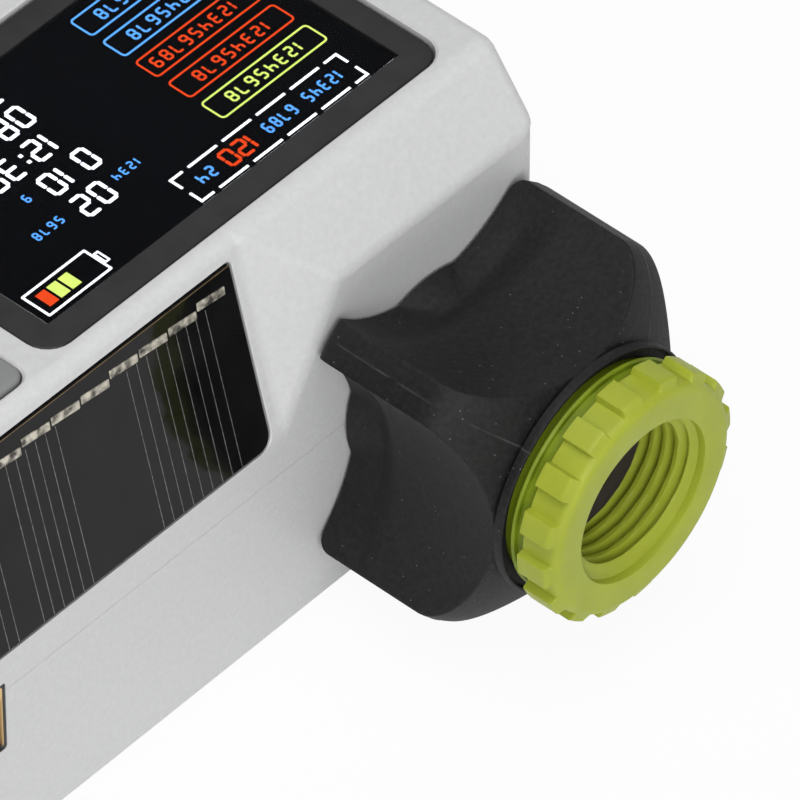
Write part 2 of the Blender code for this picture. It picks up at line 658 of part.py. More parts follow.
lead_hole.location = slope_middle - SOLAR_NORMAL * (WALL + OVERLAP)
lead_hole.rotation_euler = solar_turn
cut(front, lead_hole)
panel_back = slope_middle - SOLAR_NORMAL * (pocket_depth + CLEARANCE)
solder_y = board_front - 3 * WALL
lead("solar_lead", smooth_route(
    panel_back,
    lead_mouth - SOLAR_NORMAL * WALL / 2,
    Vector((lead_mouth.x, solder_y, lead_mouth.z)),
    Vector((lead_mouth.x, solder_y, board_low - CLEARANCE))), LEAD_RED)

# Charging socket, set back in an opening of the rear shell's inlet side
socket_right = RIGHT_FACE - SOCKET_FROM_RIGHT
socket_left = socket_right - SOCKET_WIDTH
socket_top = AXIS_HEIGHT - SOCKET_BELOW_SEAM
socket_low = socket_top - SOCKET_HEIGHT
cut(rear, box("socket_opening", (socket_left, INLET_FACE - WALL - OVERLAP, socket_low),
              (socket_right, INLET_FACE + OVERLAP, socket_top), rounding=EDGE_RADIUS / 2))
socket_face = INLET_FACE - SOCKET_SINK
socket_back = socket_face - SOCKET_DEPTH
shell_low = Vector((socket_left + CLEARANCE, socket_back, socket_low + CLEARANCE))
shell_high = Vector((socket_right - CLEARANCE, socket_face, socket_top - CLEARANCE))
socket = box("charging_socket", shell_low, shell_high, BRASS)
cut(socket, box("socket_hollow",
                shell_low + Vector((SOCKET_SHELL, 2 * SOCKET_SHELL, SOCKET_SHELL)),
                shell_high + Vector((-SOCKET_SHELL, OVERLAP, -SOCKET_SHELL))))
socket_third = (shell_high.x - shell_low.x) / 3
tongue_top = shell_low.z + SOCKET_SHELL + TONGUE_THICKNESS
join(socket, box("socket_tongue",
                 (shell_low.x + socket_third, socket_back + SOCKET_SHELL, shell_low.z + SOCKET_SHELL / 2),
                 (shell_high.x - socket_third, socket_back + 3 * SOCKET_SHELL, tongue_top)))

# Battery: a rechargeable cell in an open cradle on the rear shell's floor
holder_half = CELL_RADIUS + CLEARANCE + HOLDER_WALL
cell_x = LEAD_X + 2 * LEAD_RADIUS + holder_half
end_stack = 2 * CLEARANCE + CONTACT_THICKNESS
holder_back = OUTLET_FACE + WALL + 2 * HOLDER_WALL
cell_back = holder_back + HOLDER_WALL + end_stack
cell_front = cell_back + CELL_LENGTH
holder_front = cell_front + end_stack + HOLDER_WALL
holder_low = WALL + CLEARANCE
trough_low = holder_low + HOLDER_FLOOR
cell_z = trough_low + CLEARANCE + CELL_RADIUS
holder = box("battery_holder", (cell_x - holder_half, holder_back, holder_low),
             (cell_x + holder_half, holder_front, holder_low + HOLDER_HEIGHT), SWITCH_BLACK)
trough_half = CELL_RADIUS + CLEARANCE
cut(holder, box("holder_trough", (cell_x - trough_half, holder_back + HOLDER_WALL, trough_low),
                (cell_x + trough_half, holder_front - HOLDER_WALL, holder_low + 2 * HOLDER_HEIGHT)))
cap_radius = CELL_RADIUS / 3
turned("battery_cell",
       [(0, CELL_LENGTH), (cap_radius, CELL_LENGTH), (cap_radius, CELL_LENGTH - WALL / 2),
        (CELL_RADIUS - WALL / 4, CELL_LENGTH - WALL / 2), (CELL_RADIUS, CELL_LENGTH - WALL),
        (CELL_RADIUS, WALL / 4), (CELL_RADIUS - WALL / 4, 0), (0, 0)],
       (cell_x, cell_back, cell_z), "Y", CELL_BLUE)
contact_low = trough_low + CLEARANCE
contact_top = cell_z + CONTACT_RISE
for name, back in (("battery_contact_minus", cell_back - CLEARANCE - CONTACT_THICKNESS),
                   ("battery_contact_plus", cell_front + CLEARANCE)):
    box(name, (cell_x - CONTACT_WIDTH / 2, back, contact_low),
        (cell_x + CONTACT_WIDTH / 2, back + CONTACT_THICKNESS, contact_top), STEEL)

# Water line: ball valve between an inlet spigot and a threaded outlet, all on one axis
water_line = Vector((WATER_X, 0, AXIS_HEIGHT))
valve_middle = water_line + STEP["Y"] * VALVE_Y
seat_outer = CHAMBER_RADIUS - CLEARANCE
seat_near = math.sqrt((BALL_RADIUS + CLEARANCE) ** 2 - SEAT_INNER ** 2) + CLEARANCE / 4
seat_far = seat_near + SEAT_THICKNESS
chamber_end = seat_far + CLEARANCE
body_end = chamber_end + 2 * WALL
socket_floor = chamber_end + WALL
neck_end = INLET_FACE - WALL - CLEARANCE - VALVE_Y
socket_radius = SPIGOT_RADIUS + CLEARANCE
valve = turned("valve_body",
               [(NECK_RADIUS, neck_end), (NECK_RADIUS, socket_floor + WALL), (VALVE_RADIUS, socket_floor),
                (VALVE_RADIUS, -body_end), (CHAMBER_RADIUS, -body_end), (CHAMBER_RADIUS, chamber_end),
                (WATERWAY_RADIUS, chamber_end), (WATERWAY_RADIUS, socket_floor),
                (socket_radius, socket_floor), (socket_radius, neck_end)],
               valve_middle, "Y", VALVE_WHITE, FINE_SIDES)
join(valve, rod("stem_boss", valve_middle + STEP["Z"] * (CHAMBER_RADIUS + CLEARANCE), "Z", STEM_BOSS_RADIUS,
                STEM_BOSS_TOP - CHAMBER_RADIUS - CLEARANCE))
cut(valve, rod("stem_hole", valve_middle, "Z", STEM_RADIUS + CLEARANCE, STEM_BOSS_TOP + OVERLAP))
gland_floor = STEM_BOSS_TOP - WALL * 2 / 3
gland_radius = STEM_BOSS_RADIUS - WALL / 3
cut(valve, rod("stem_gland", valve_middle + STEP["Z"] * gland_floor, "Z", gland_radius, WALL))
turned("stem_seal",
       [(gland_radius - CLEARANCE, STEM_BOSS_TOP - CLEARANCE),
        (gland_radius - CLEARANCE, gland_floor + CLEARANCE),
        (STEM_RADIUS + CLEARANCE, gland_floor + CLEARANCE),
        (STEM_RADIUS + CLEARANCE, STEM_BOSS_TOP - CLEARANCE)],
       valve_middle, "Z", RUBBER)
for name, direction in (("ball_seat_inlet", 1), ("ball_seat_outlet", -1)):
    start = min(direction * seat_near, direction * seat_far)
    end = max(direction * seat_near, direction * seat_far)
    turned(name, [(seat_outer, end), (seat_outer, start), (SEAT_INNER, start), (SEAT_INNER, end)],
           valve_middle, "Y", VALVE_WHITE)

# Outlet: plugs the valve's far end, passes the wall on the seam and ends in a hose thread
outlet_low = OUTLET_FACE - OUTLET_REACH - VALVE_Y
wall_out = OUTLET_FACE - CLEARANCE - VALVE_Y
plug_radius = CHAMBER_RADIUS - CLEARANCE
groove_radius = plug_radius - WALL / 2
groove_top = -chamber_end - WALL / 2
groove_low = groove_top - WALL / 2 - CLEARANCE
stop_top = -body_end - CLEARANCE
turned("outlet_spigot",
       [(plug_radius, -chamber_end), (plug_radius, groove_top), (groove_radius, groove_top),
        (groove_radius, groove_low), (plug_radius, groove_low), (plug_radius, stop_top),
        (VALVE_RADIUS, stop_top), (VALVE_RADIUS, stop_top - WALL), (NECK_RADIUS, stop_top - WALL),
        (NECK_RADIUS, wall_out),
        (OUTLET_FLANGE, wall_out), (OUTLET_FLANGE, wall_out - OUTLET_FLANGE_THICKNESS),
        (OUTLET_THREAD, wall_out - OUTLET_FLANGE_THICKNESS), (OUTLET_THREAD, outlet_low + EDGE_RADIUS),
        (OUTLET_THREAD - EDGE_RADIUS, outlet_low), (OUTLET_BORE, outlet_low), (OUTLET_BORE, wall_out),
        (WATERWAY_RADIUS, wall_out + WALL), (WATERWAY_RADIUS, -chamber_end)],
       valve_middle, "Y", NUT_BLACK, FINE_SIDES)
seal_top = groove_top - CLEARANCE / 2
seal_low = groove_low + CLEARANCE / 2
turned("outlet_seal",
       [(plug_radius, seal_top), (plug_radius, seal_low), (groove_radius + CLEARANCE, seal_low),
        (groove_radius + CLEARANCE, seal_top)],
       valve_middle, "Y", RUBBER)

# Inlet spigot: pushed through the nut into the valve, with a flange that keeps the nut on
nut_base = INLET_FACE + NUT_GAP
flange_back = nut_base + NUT_SEAT_DEPTH + CLEARANCE - VALVE_Y
flange_face = flange_back + SPIGOT_FLANGE_THICKNESS
rim_floor = flange_face - FILTER_RIM_THICKNESS - CLEARANCE
turned("inlet_spigot",
       [(SPIGOT_FLANGE, flange_face), (SPIGOT_FLANGE, flange_back), (SPIGOT_RADIUS, flange_back),
        (SPIGOT_RADIUS, socket_floor + CLEARANCE), (SPIGOT_BORE, socket_floor + CLEARANCE),
        (SPIGOT_BORE, rim_floor),
        (FILTER_RIM + CLEARANCE, rim_floor), (FILTER_RIM + CLEARANCE, flange_face)],
       valve_middle, "Y", VALVE_WHITE, FINE_SIDES)
filter_wall = SPIGOT_BORE - 2 * CLEARANCE
filter_top = rim_floor + CLEARANCE + FILTER_RIM_THICKNESS
filter_end = filter_top - FILTER_DEPTH
turned("inlet_filter",
       [(0, filter_end + FILTER_WALL), (filter_wall - FILTER_WALL, filter_end + FILTER_WALL),
        (filter_wall - FILTER_WALL, filter_top), (FILTER_RIM, filter_top),
        (FILTER_RIM, rim_floor + CLEARANCE), (filter_wall, rim_floor + CLEARANCE), (filter_wall, filter_end),
        (0, filter_end)],
       valve_middle, "Y", SWITCH_BLACK)

# Openings for the water line, half in each shell
for name, base in (("inlet_opening", INLET_FACE - WALL - OVERLAP), ("outlet_opening", OUTLET_FACE - OVERLAP)):
    hole = rod(name, (WATER_X, base, AXIS_HEIGHT), "Y", NECK_RADIUS + CLEARANCE, WALL + 2 * OVERLAP,
               sides=FINE_SIDES)
    cut(front, hole)
    cut(rear, hole)

# Swivel nut: four wings with thumb scoops between them, round a stepped bore
nut_home = (WATER_X, nut_base, AXIS_HEIGHT)
mouth_radius = MOUTH_BORE + MOUTH_LIP
neck_radius = mouth_radius - CLEARANCE
neck_end = NUT_LENGTH - CLEARANCE
dome = [(0, neck_end), (neck_radius, neck_end)]
for step in range(DOME_STEPS + 1):
    share = 1 - step / DOME_STEPS
    dome.append((NUT_RADIUS - (NUT_RADIUS - neck_radius) * share ** 2, NUT_STRAIGHT + DOME_LENGTH * share))
round_middle = NUT_BASE_ROUND * (1 - math.sqrt(0.5))
nut_foot = [(NUT_RADIUS, NUT_BASE_ROUND), (NUT_RADIUS - round_middle, round_middle),
            (NUT_RADIUS - NUT_BASE_ROUND, 0), (0, 0)]
nut = turned("swivel_nut", dome + nut_foot, nut_home, "Y", NUT_BLACK, FINE_SIDES)
scoop_base = SPIGOT_RADIUS + CLEARANCE + SCOOP_BASE_WALL
scoop_middle = THREAD_BORE + SCOOP_MID_WALL
scoop_mouth = MOUTH_BORE + SCOOP_MOUTH_WALL


def scoop_floor(height):
    """Distance from the nut's axis to the bottom of a thumb scoop."""
    share = min(max((height - SCOOP_STEP_START) / (SCOOP_STEP_END - SCOOP_STEP_START), 0), 1)
    step = share * share * (3 - 2 * share)
    rise = max(height - SCOOP_STEP_END, 0) / (NUT_LENGTH - SCOOP_STEP_END)
    return (scoop_base + (scoop_middle - scoop_base) * step
            + (scoop_mouth - scoop_middle) * min(rise, 1))


half_scoop = math.pi / SCOOP_COUNT - WING_TIP_WIDTH / 2 / NUT_RADIUS
scoop_edge = NUT_RADIUS * math.sin(half_scoop)
scoop_lip = NUT_RADIUS * math.cos(half_scoop)
step_mid = (SCOOP_STEP_START + SCOOP_STEP_END) / 2
scoop_heights = [-WALL, SCOOP_STEP_START, step_mid, SCOOP_STEP_END, NUT_LENGTH, NUT_LENGTH + WALL]


def scoop_section(bm, height):
    """A closed loop round a scoop at one height: an arc from wing to wing, shut outside the nut."""
    floor = scoop_floor(height)
    rise = scoop_lip - floor
    radius = (rise ** 2 + scoop_edge ** 2) / (2 * rise)
    reach = math.asin(scoop_edge / radius) * SCOOP_OVERRUN
    points = []
    for step in range(SCOOP_STEPS + 1):
        angle = reach * (2 * step / SCOOP_STEPS - 1)
        points.append((radius * math.sin(angle), floor + radius * (1 - math.cos(angle))))
    points += [(points[-1][0], 2 * NUT_RADIUS), (points[0][0], 2 * NUT_RADIUS)]
    verts = [bm.verts.new((x, -y, height)) for x, y in points]
    return [bm.edges.new(pair) for pair in zip(verts, verts[1:] + verts[:1])]


def thumb_scoop(name, angle):
    """A loft through the scoop's sections, turned to its place round the nut."""
    bm = bmesh.new()
    loops = [scoop_section(bm, height) for height in scoop_heights]
    for lower, upper in zip(loops, loops[1:]):
        bmesh.ops.bridge_loops(bm, edges=lower + upper)
    for end in (loops[0], loops[-1]):
        bmesh.ops.contextual_create(bm, geom=end)
    bmesh.ops.recalc_face_normals(bm, faces=bm.faces)
    bmesh.ops.rotate(bm, verts=bm.verts, matrix=Matrix.Rotation(angle, 3, "Z"))
    return place(name, mesh_of(name, bm), None, nut_home, TURN["Y"])


for number in range(SCOOP_COUNT):
    cut(nut, thumb_scoop(f"thumb_scoop_{number + 1}", 2 * math.pi * number / SCOOP_COUNT))
join(nut, rod("nut_collar", nut_home, "Y", NUT_COLLAR, NUT_COLLAR_LENGTH, sides=FINE_SIDES))
lip_home = Vector(nut_home) + STEP["Y"] * (NUT_LENGTH - LIP_LENGTH)
join(nut, rod("nut_lip", lip_home, "Y", mouth_radius, LIP_LENGTH, sides=FINE_SIDES))
adapter_face = INLET_FACE + INLET_REACH - nut_base
flange_seat = adapter_face - ADAPTER_FLANGE_THICKNESS
collar_back = flange_seat - ADAPTER_COLLAR_LENGTH
mouth_floor = collar_back - CLEARANCE
cut(nut, turned("nut_bore",
                [(0, NUT_LENGTH + WALL), (MOUTH_BORE, NUT_LENGTH + WALL), (MOUTH_BORE, mouth_floor),
                 (THREAD_BORE, mouth_floor), (THREAD_BORE, NUT_SEAT_DEPTH),
                 (SPIGOT_RADIUS + CLEARANCE, NUT_SEAT_DEPTH), (SPIGOT_RADIUS + CLEARANCE, -WALL), (0, -WALL)],
                nut_home, "Y", sides=FINE_SIDES))

# Washers and adapter: the adapter screws into the nut and gives a smaller female thread
washer_back = flange_face + VALVE_Y - nut_base + CLEARANCE
washer_face = washer_back + WASHER_THICKNESS
washer_outer = ADAPTER_THREAD - CLEARANCE
turned("adapter_washer",
       [(washer_outer, washer_face), (washer_outer, washer_back), (WASHER_BORE, washer_back),
        (WASHER_BORE, washer_face)],
       nut_home, "Y", RUBBER)
thread_end = washer_face + CLEARANCE


def rib_outline():
    """The grip ring's outline: equal ribs and gaps."""
    points = []
    pitch = 2 * math.pi / RIB_COUNT
    valley = ADAPTER_FLANGE - RIB_HEIGHT
    steps = [(-RIB_SHARE, ADAPTER_FLANGE), (0, ADAPTER_FLANGE), (RIB_SHARE, ADAPTER_FLANGE),
             (RIB_SHARE + RIB_FLANK, valley), (0.5, valley), (1 - RIB_SHARE - RIB_FLANK, valley)]
    for rib in range(RIB_COUNT):
        for share, radius in steps:
            angle = (rib + share) * pitch
            points.append((radius * math.cos(angle), radius * math.sin(angle)))
    return points


adapter = flat_solid("thread_adapter", rib_outline(), Vector(nut_home) + STEP["Y"] * flange_seat,
                     ADAPTER_FLANGE_THICKNESS, "Y", ADAPTER_GREEN)
join(adapter, turned("adapter_stub",
                     [(0, flange_seat + WALL), (ADAPTER_COLLAR, flange_seat + WALL),
                      (ADAPTER_COLLAR, collar_back), (ADAPTER_THREAD, collar_back),
                      (ADAPTER_THREAD, thread_end + EDGE_RADIUS),
                      (ADAPTER_THREAD - EDGE_RADIUS, thread_end), (0, thread_end)],
                     nut_home, "Y", sides=FINE_SIDES))
mouth_depth = ADAPTER_MOUTH - ADAPTER_BORE
tap_face = adapter_face - TAP_WASHER_DEPTH
tap_back = tap_face - TAP_WASHER_THICKNESS
cut(adapter, turned("adapter_bore",
                    [(0, adapter_face + WALL), (ADAPTER_MOUTH + WALL, adapter_face + WALL),
                     (ADAPTER_BORE, adapter_face - mouth_depth), (ADAPTER_BORE, tap_back - CLEARANCE),
                     (ADAPTER_HOLE, tap_back - CLEARANCE), (ADAPTER_HOLE, thread_end - WALL),
                     (0, thread_end - WALL)],
                    nut_home, "Y", sides=FINE_SIDES))
tap_outer = ADAPTER_BORE - CLEARANCE
turned("tap_washer",
       [(tap_outer, tap_face), (tap_outer, tap_back), (TAP_WASHER_BORE, tap_back), (TAP_WASHER_BORE, tap_face)],
       nut_home, "Y", RUBBER)

# Valve drive: gear motor, compound gear and output gear on a plate over the valve
plate_top = PLATE_HEIGHT + PLATE_THICKNESS
output_low = max(plate_top, AXIS_HEIGHT + STEM_BOSS_TOP) + 2 * CLEARANCE
output_high = output_low + OUTPUT_GEAR_THICKNESS
wheel_low = output_high + 2 * CLEARANCE
wheel_high = wheel_low + WHEEL_THICKNESS


def gear_outline(teeth, module, first_tooth):
    """An involute gear's outline with its first tooth at an angle, thinned by half the backlash."""
    pitch = teeth * module / 2
    base = pitch * math.cos(PRESSURE_ANGLE)
    tip = pitch + module
    root = pitch - DEDENDUM * module

    def involute(radius):
        pressure = math.acos(min(base / radius, 1))
        return math.tan(pressure) - pressure

    def half_angle(radius):
        return (math.pi / (2 * teeth) - BACKLASH / (2 * pitch)
                + math.tan(PRESSURE_ANGLE) - PRESSURE_ANGLE - involute(max(radius, base)))

    radii = [root, pitch, tip]
    points = []
    for tooth in range(teeth):
        centre = first_tooth + 2 * math.pi * tooth / teeth
        flanks = [(radius, centre - half_angle(radius)) for radius in radii]
        flanks += [(radius, centre + half_angle(radius)) for radius in reversed(radii)]
        points += [(radius * math.cos(angle), radius * math.sin(angle)) for radius, angle in flanks]
    return points


stem_line = Vector((WATER_X, VALVE_Y, 0))
compound_line = Vector((COMPOUND_X, VALVE_Y, 0))
motor_line = Vector((MOTOR_X, VALVE_Y, 0))
half_tooth = math.pi / PINION_TEETH

plate_left = WATER_X - STEM_BOSS_RADIUS - CLEARANCE
plate_back = VALVE_Y - POST_BACK_OFFSET - PLATE_MARGIN
plate_right = MOTOR_X + MOTOR_RADIUS + PLATE_MARGIN
plate_front = VALVE_Y + POST_OFFSET + PLATE_MARGIN
plate = box("gear_plate", (plate_left, plate_back, PLATE_HEIGHT), (plate_right, plate_front, plate_top),
            STEEL, rounding=PLATE_MARGIN / 2, upright=True)
cut(plate, rod("plate_stem_hole", stem_line + STEP["Z"] * (PLATE_HEIGHT - OVERLAP), "Z",
               STEM_BOSS_RADIUS + 2 * CLEARANCE, PLATE_THICKNESS + 2 * OVERLAP))
cut(plate, rod("plate_axle_hole", compound_line + STEP["Z"] * (PLATE_HEIGHT - OVERLAP), "Z",
               AXLE_RADIUS + RUNNING_GAP, PLATE_THICKNESS + 2 * OVERLAP, sides=SMALL_SIDES))
cut(plate, rod("plate_motor_hole", motor_line + STEP["Z"] * (PLATE_HEIGHT - OVERLAP), "Z",
               MOTOR_BOSS + CLEARANCE, PLATE_THICKNESS + 2 * OVERLAP, sides=SMALL_SIDES))
post_x = max(COMPOUND_X, WATER_X + VALVE_RADIUS + CLEARANCE + POST_RADIUS)
posts = [(post_x, VALVE_Y + POST_OFFSET), (MOTOR_X + MOTOR_RADIUS, VALVE_Y + POST_OFFSET),
         (post_x, VALVE_Y - POST_BACK_OFFSET)]
for number, (x, y) in enumerate(posts, 1):
    post_top = PLATE_HEIGHT - CLEARANCE
    join(rear, rod(f"plate_post_{number}", (x, y, WALL - OVERLAP), "Z", POST_RADIUS,
                   post_top - WALL + OVERLAP, sides=SMALL_SIDES))
    bite = rod(f"plate_bite_{number}", (x, y, post_top - 2 * SMALL_SCREW_BITE), "Z",
               SMALL_SCREW_RADIUS + CLEARANCE, 3 * SMALL_SCREW_BITE, sides=SMALL_SIDES)
    cut(rear, bite)
    cut(plate, bite)
    seat = plate_top + CLEARANCE
    tip = post_top - SMALL_SCREW_BITE
    turned(f"plate_screw_{number}",
           [(0, seat + SMALL_HEAD_HEIGHT), (SMALL_HEAD_RADIUS, seat + SMALL_HEAD_HEIGHT / 2),
            (SMALL_HEAD_RADIUS, seat), (SMALL_SCREW_RADIUS, seat),
            (SMALL_SCREW_RADIUS, tip + SMALL_SCREW_RADIUS), (0, tip)],
           (x, y, 0), "Z", STEEL, SMALL_SIDES)

motor_top = PLATE_HEIGHT - CLEARANCE
motor_low = motor_top - MOTOR_LENGTH
motor_case = MOTOR_BOSS / 3
motor = turned("drive_motor",
               [(0, plate_top), (MOTOR_BOSS, plate_top), (MOTOR_BOSS, motor_top),
                (MOTOR_RADIUS - motor_case, motor_top), (MOTOR_RADIUS, motor_top - motor_case),
                (MOTOR_RADIUS, motor_low + motor_case),
                (MOTOR_RADIUS - motor_case, motor_low), (0, motor_low)],
               motor_line, "Z", STEEL)
shaft_low = plate_top - SHAFT_ENGAGED
cut(motor, rod("motor_shaft_well", motor_line + STEP["Z"] * (shaft_low - CLEARANCE), "Z",
               SHAFT_RADIUS + RUNNING_GAP, SHAFT_ENGAGED + WALL, sides=SMALL_SIDES))
pinion = flat_solid("motor_pinion", gear_outline(PINION_TEETH, WHEEL_MODULE, half_tooth),
                    motor_line + STEP["Z"] * wheel_low, WHEEL_THICKNESS, "Z", BRASS)
join(pinion, rod("motor_shaft", motor_line + STEP["Z"] * shaft_low, "Z", SHAFT_RADIUS,
                 wheel_low + WHEEL_THICKNESS / 2 - shaft_low, sides=SMALL_SIDES))

axle_top = wheel_high + 2 * CLEARANCE
rod("gear_axle", compound_line + STEP["Z"] * (PLATE_HEIGHT + CLEARANCE), "Z", AXLE_RADIUS,
    axle_top - PLATE_HEIGHT - CLEARANCE, STEEL, SMALL_SIDES)
compound = flat_solid("compound_gear", gear_outline(WHEEL_TEETH, WHEEL_MODULE, 0.0),
                      compound_line + STEP["Z"] * wheel_low, WHEEL_THICKNESS, "Z", GEAR_CREAM)
compound_low = plate_top + CLEARANCE
join(compound, flat_solid("compound_pinion", gear_outline(PINION_TEETH, OUTPUT_MODULE, half_tooth),
                          compound_line + STEP["Z"] * compound_low, wheel_low + OVERLAP - compound_low, "Z"))
cut(compound, rod("compound_bore", compound_line + STEP["Z"] * (compound_low - OVERLAP), "Z",
                  AXLE_RADIUS + RUNNING_GAP, wheel_high - compound_low + 2 * OVERLAP, sides=SMALL_SIDES))

output = flat_solid("output_gear", gear_outline(OUTPUT_TEETH, OUTPUT_MODULE, 0.0),
                    stem_line + STEP["Z"] * output_low, OUTPUT_GEAR_THICKNESS, "Z", GEAR_CREAM)
cut(output, rod("output_bore", stem_line + STEP["Z"] * (output_low - OVERLAP), "Z", STEM_RADIUS + CLEARANCE,
                OUTPUT_GEAR_THICKNESS + 2 * OVERLAP))
tang_low = BALL_RADIUS + CLEARANCE - TANG_DEPTH
stem = rod("valve_stem", valve_middle + STEP["Z"] * (BALL_RADIUS + CLEARANCE), "Z", STEM_RADIUS,
           output_high - AXIS_HEIGHT - BALL_RADIUS - CLEARANCE, STEEL)
tang_half = Vector((TANG_WIDTH / 2, TANG_LENGTH / 2, 0))
join(stem, box("stem_tang", valve_middle - tang_half + STEP["Z"] * tang_low,
               valve_middle + tang_half + STEP["Z"] * (BALL_RADIUS + 2 * CLEARANCE)))
ball_side = []
for step in range(1, BALL_STEPS):
    angle = math.pi * step / BALL_STEPS
    ball_side.append((BALL_RADIUS * math.sin(angle), BALL_RADIUS * math.cos(angle)))
ball = turned("valve_ball", [(0, BALL_RADIUS)] + ball_side + [(0, -BALL_RADIUS)], valve_middle, "Z", STEEL)
cut(ball, rod("ball_bore", valve_middle - STEP["X"] * 2 * BALL_RADIUS, "X", BALL_BORE, 4 * BALL_RADIUS))
slot_half = Vector((TANG_WIDTH / 2 + CLEARANCE, BALL_RADIUS, 0))
cut(ball, box("ball_slot", valve_middle - slot_half + STEP["Z"] * (tang_low - CLEARANCE),
              valve_middle + slot_half + STEP["Z"] * 2 * BALL_RADIUS))

# Leads from the motor and the cell up to the board
motor_foot = motor_line + STEP["Z"] * (motor_low - CLEARANCE)
lead_y = VALVE_Y - MOTOR_RADIUS
lead("motor_lead", smooth_route(
    motor_foot,
    motor_foot - STEP["Z"] * 2 * WALL,
    Vector((MOTOR_X + MOTOR_RADIUS, lead_y, motor_low)),
    Vector((LEAD_X, lead_y, (motor_low + PLATE_HEIGHT) / 2)),
    Vector((LEAD_X, lead_y, PLATE_HEIGHT)),
    Vector((LEAD_X, lead_y, board_low - CLEARANCE))), LEAD_RED)
lead_start = cell_back - 2 * CLEARANCE - CONTACT_THICKNESS - LEAD_RADIUS
lead("battery_lead", smooth_route(
    Vector((cell_x, lead_start, (holder_low + HOLDER_HEIGHT + contact_top) / 2)),
    Vector((cell_x, lead_start, contact_top + WALL)),
    Vector((cell_x, board_back + WALL, PLATE_HEIGHT)),
    Vector((cell_x, board_back + WALL, board_low - CLEARANCE))), LEAD_RED)

# Seal cords in matching grooves of the seam, one each side of the water line
seal_in = WALL / 2 - SEAL_WIDTH / 2


def seam_ring(name, margin, height, look=None):
    """A flat ring along the middle of the wall, on the seam."""
    inset = seal_in - margin
    width = SEAL_WIDTH + 2 * margin
    return ring_frame(name, (LEFT_FACE + inset, OUTLET_FACE + inset, AXIS_HEIGHT - height / 2),
                      (RIGHT_FACE - inset, INLET_FACE - inset, AXIS_HEIGHT + height / 2),
                      width, CORNER_RADIUS / 2, look)


groove = seam_ring("seal_groove", CLEARANCE, SEAL_HEIGHT + 2 * CLEARANCE)
cut(front, groove)
cut(rear, groove)
water_gap = rod("seal_gap", (WATER_X, OUTLET_FACE - WALL, AXIS_HEIGHT), "Y", NECK_RADIUS + 3 * CLEARANCE,
                BODY_DEPTH + 2 * WALL, sides=FINE_SIDES)
for name, low, high in (("housing_seal_left", 2 * LEFT_FACE, WATER_X),
                        ("housing_seal_right", WATER_X, 2 * RIGHT_FACE)):
    cord = seam_ring(name, 0.0, SEAL_HEIGHT, RUBBER)
    cut(cord, water_gap)
    kept_side = box(name + "_side", (low, 2 * OUTLET_FACE, 0), (high, 2 * INLET_FACE, BODY_HEIGHT))
    cut(cord, kept_side, "INTERSECT")

# Guides on the joint axes carry what turns together
washer = bpy.data.objects["adapter_washer"]
carry(empty("nut_axis", nut_home), nut, adapter, washer)
carry(empty("stem_axis", valve_middle), ball, stem, output)
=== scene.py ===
"""Looks of the drip irrigation timer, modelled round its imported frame.

+Z comes out of the display, +Y points to the tap inlet and +X runs the way the display is read.
Lengths are metres. The display's marks and the turned pieces are drawn in millimetres and then scaled.
"""
import math

import bmesh
import bpy
import numpy as np
from mathutils import Matrix, Vector


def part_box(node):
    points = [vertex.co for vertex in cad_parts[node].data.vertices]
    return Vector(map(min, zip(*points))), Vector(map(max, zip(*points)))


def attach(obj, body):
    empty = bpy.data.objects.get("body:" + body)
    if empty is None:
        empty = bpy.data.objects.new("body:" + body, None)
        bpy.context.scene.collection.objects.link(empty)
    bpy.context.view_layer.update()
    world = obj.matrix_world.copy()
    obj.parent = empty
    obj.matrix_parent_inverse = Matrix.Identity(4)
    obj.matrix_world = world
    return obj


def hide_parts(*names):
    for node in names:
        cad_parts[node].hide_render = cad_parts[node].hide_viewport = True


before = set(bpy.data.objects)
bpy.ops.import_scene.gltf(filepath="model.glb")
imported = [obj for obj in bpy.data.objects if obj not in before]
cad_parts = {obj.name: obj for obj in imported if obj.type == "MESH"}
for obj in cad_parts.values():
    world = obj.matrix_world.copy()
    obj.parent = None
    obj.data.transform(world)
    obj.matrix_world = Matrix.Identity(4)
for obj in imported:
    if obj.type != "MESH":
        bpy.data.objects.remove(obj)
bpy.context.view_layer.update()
scene = bpy.context.scene
scene.view_settings.view_transform = "Standard"

# Studio floor: a sheet of white paper that the timer lies on.
# It is matt, keeps a faint shadow, and shows white in the glossy pieces.
FLOOR_HALF = 3.0
FLOOR_DROP = 0.0002
PAPER_SHADES = ((0.82, 0.82, 0.82), (0.85, 0.85, 0.85))
PAPER_PATCH = 0.02
PAPER_GLOW = 0.94


def look(name):
    """A fresh material with its node tree, its shader and the piece's own coordinates."""
    material = bpy.data.materials.new(name)
    material.use_nodes = True
    tree = material.node_tree
    coordinates = tree.nodes.new("ShaderNodeTexCoord")
    return material, tree, tree.nodes["Principled BSDF"], coordinates.outputs["Object"]


def noise(tree, place, size, detail=2.0):
    """Cloudy noise whose patches are about one size across."""
    node = tree.nodes.new("ShaderNodeTexNoise")
    node.inputs["Scale"].default_value = 1 / size
    node.inputs["Detail"].default_value = detail
    tree.links.new(place, node.inputs["Vector"])
    return node.outputs[0]


def ramp(tree, value, low, high, start=0.3, end=0.7):
    """A colour that runs from low to high as the value goes from start to end."""
    node = tree.nodes.new("ShaderNodeValToRGB")
    for stop, position, colour in zip(node.color_ramp.elements, (start, end), (low, high)):
        stop.position = position
        stop.color = (*colour, 1)
    tree.links.new(value, node.inputs[0])
    return node.outputs[0]


def spread(tree, value, low, high, start=0.3, end=0.7):
    """A number that runs from low to high as the value goes from start to end."""
    node = tree.nodes.new("ShaderNodeMapRange")
    for socket, number in (("From Min", start), ("From Max", end), ("To Min", low), ("To Max", high)):
        node.inputs[socket].default_value = number
    tree.links.new(value, node.inputs["Value"])
    return node.outputs["Result"]


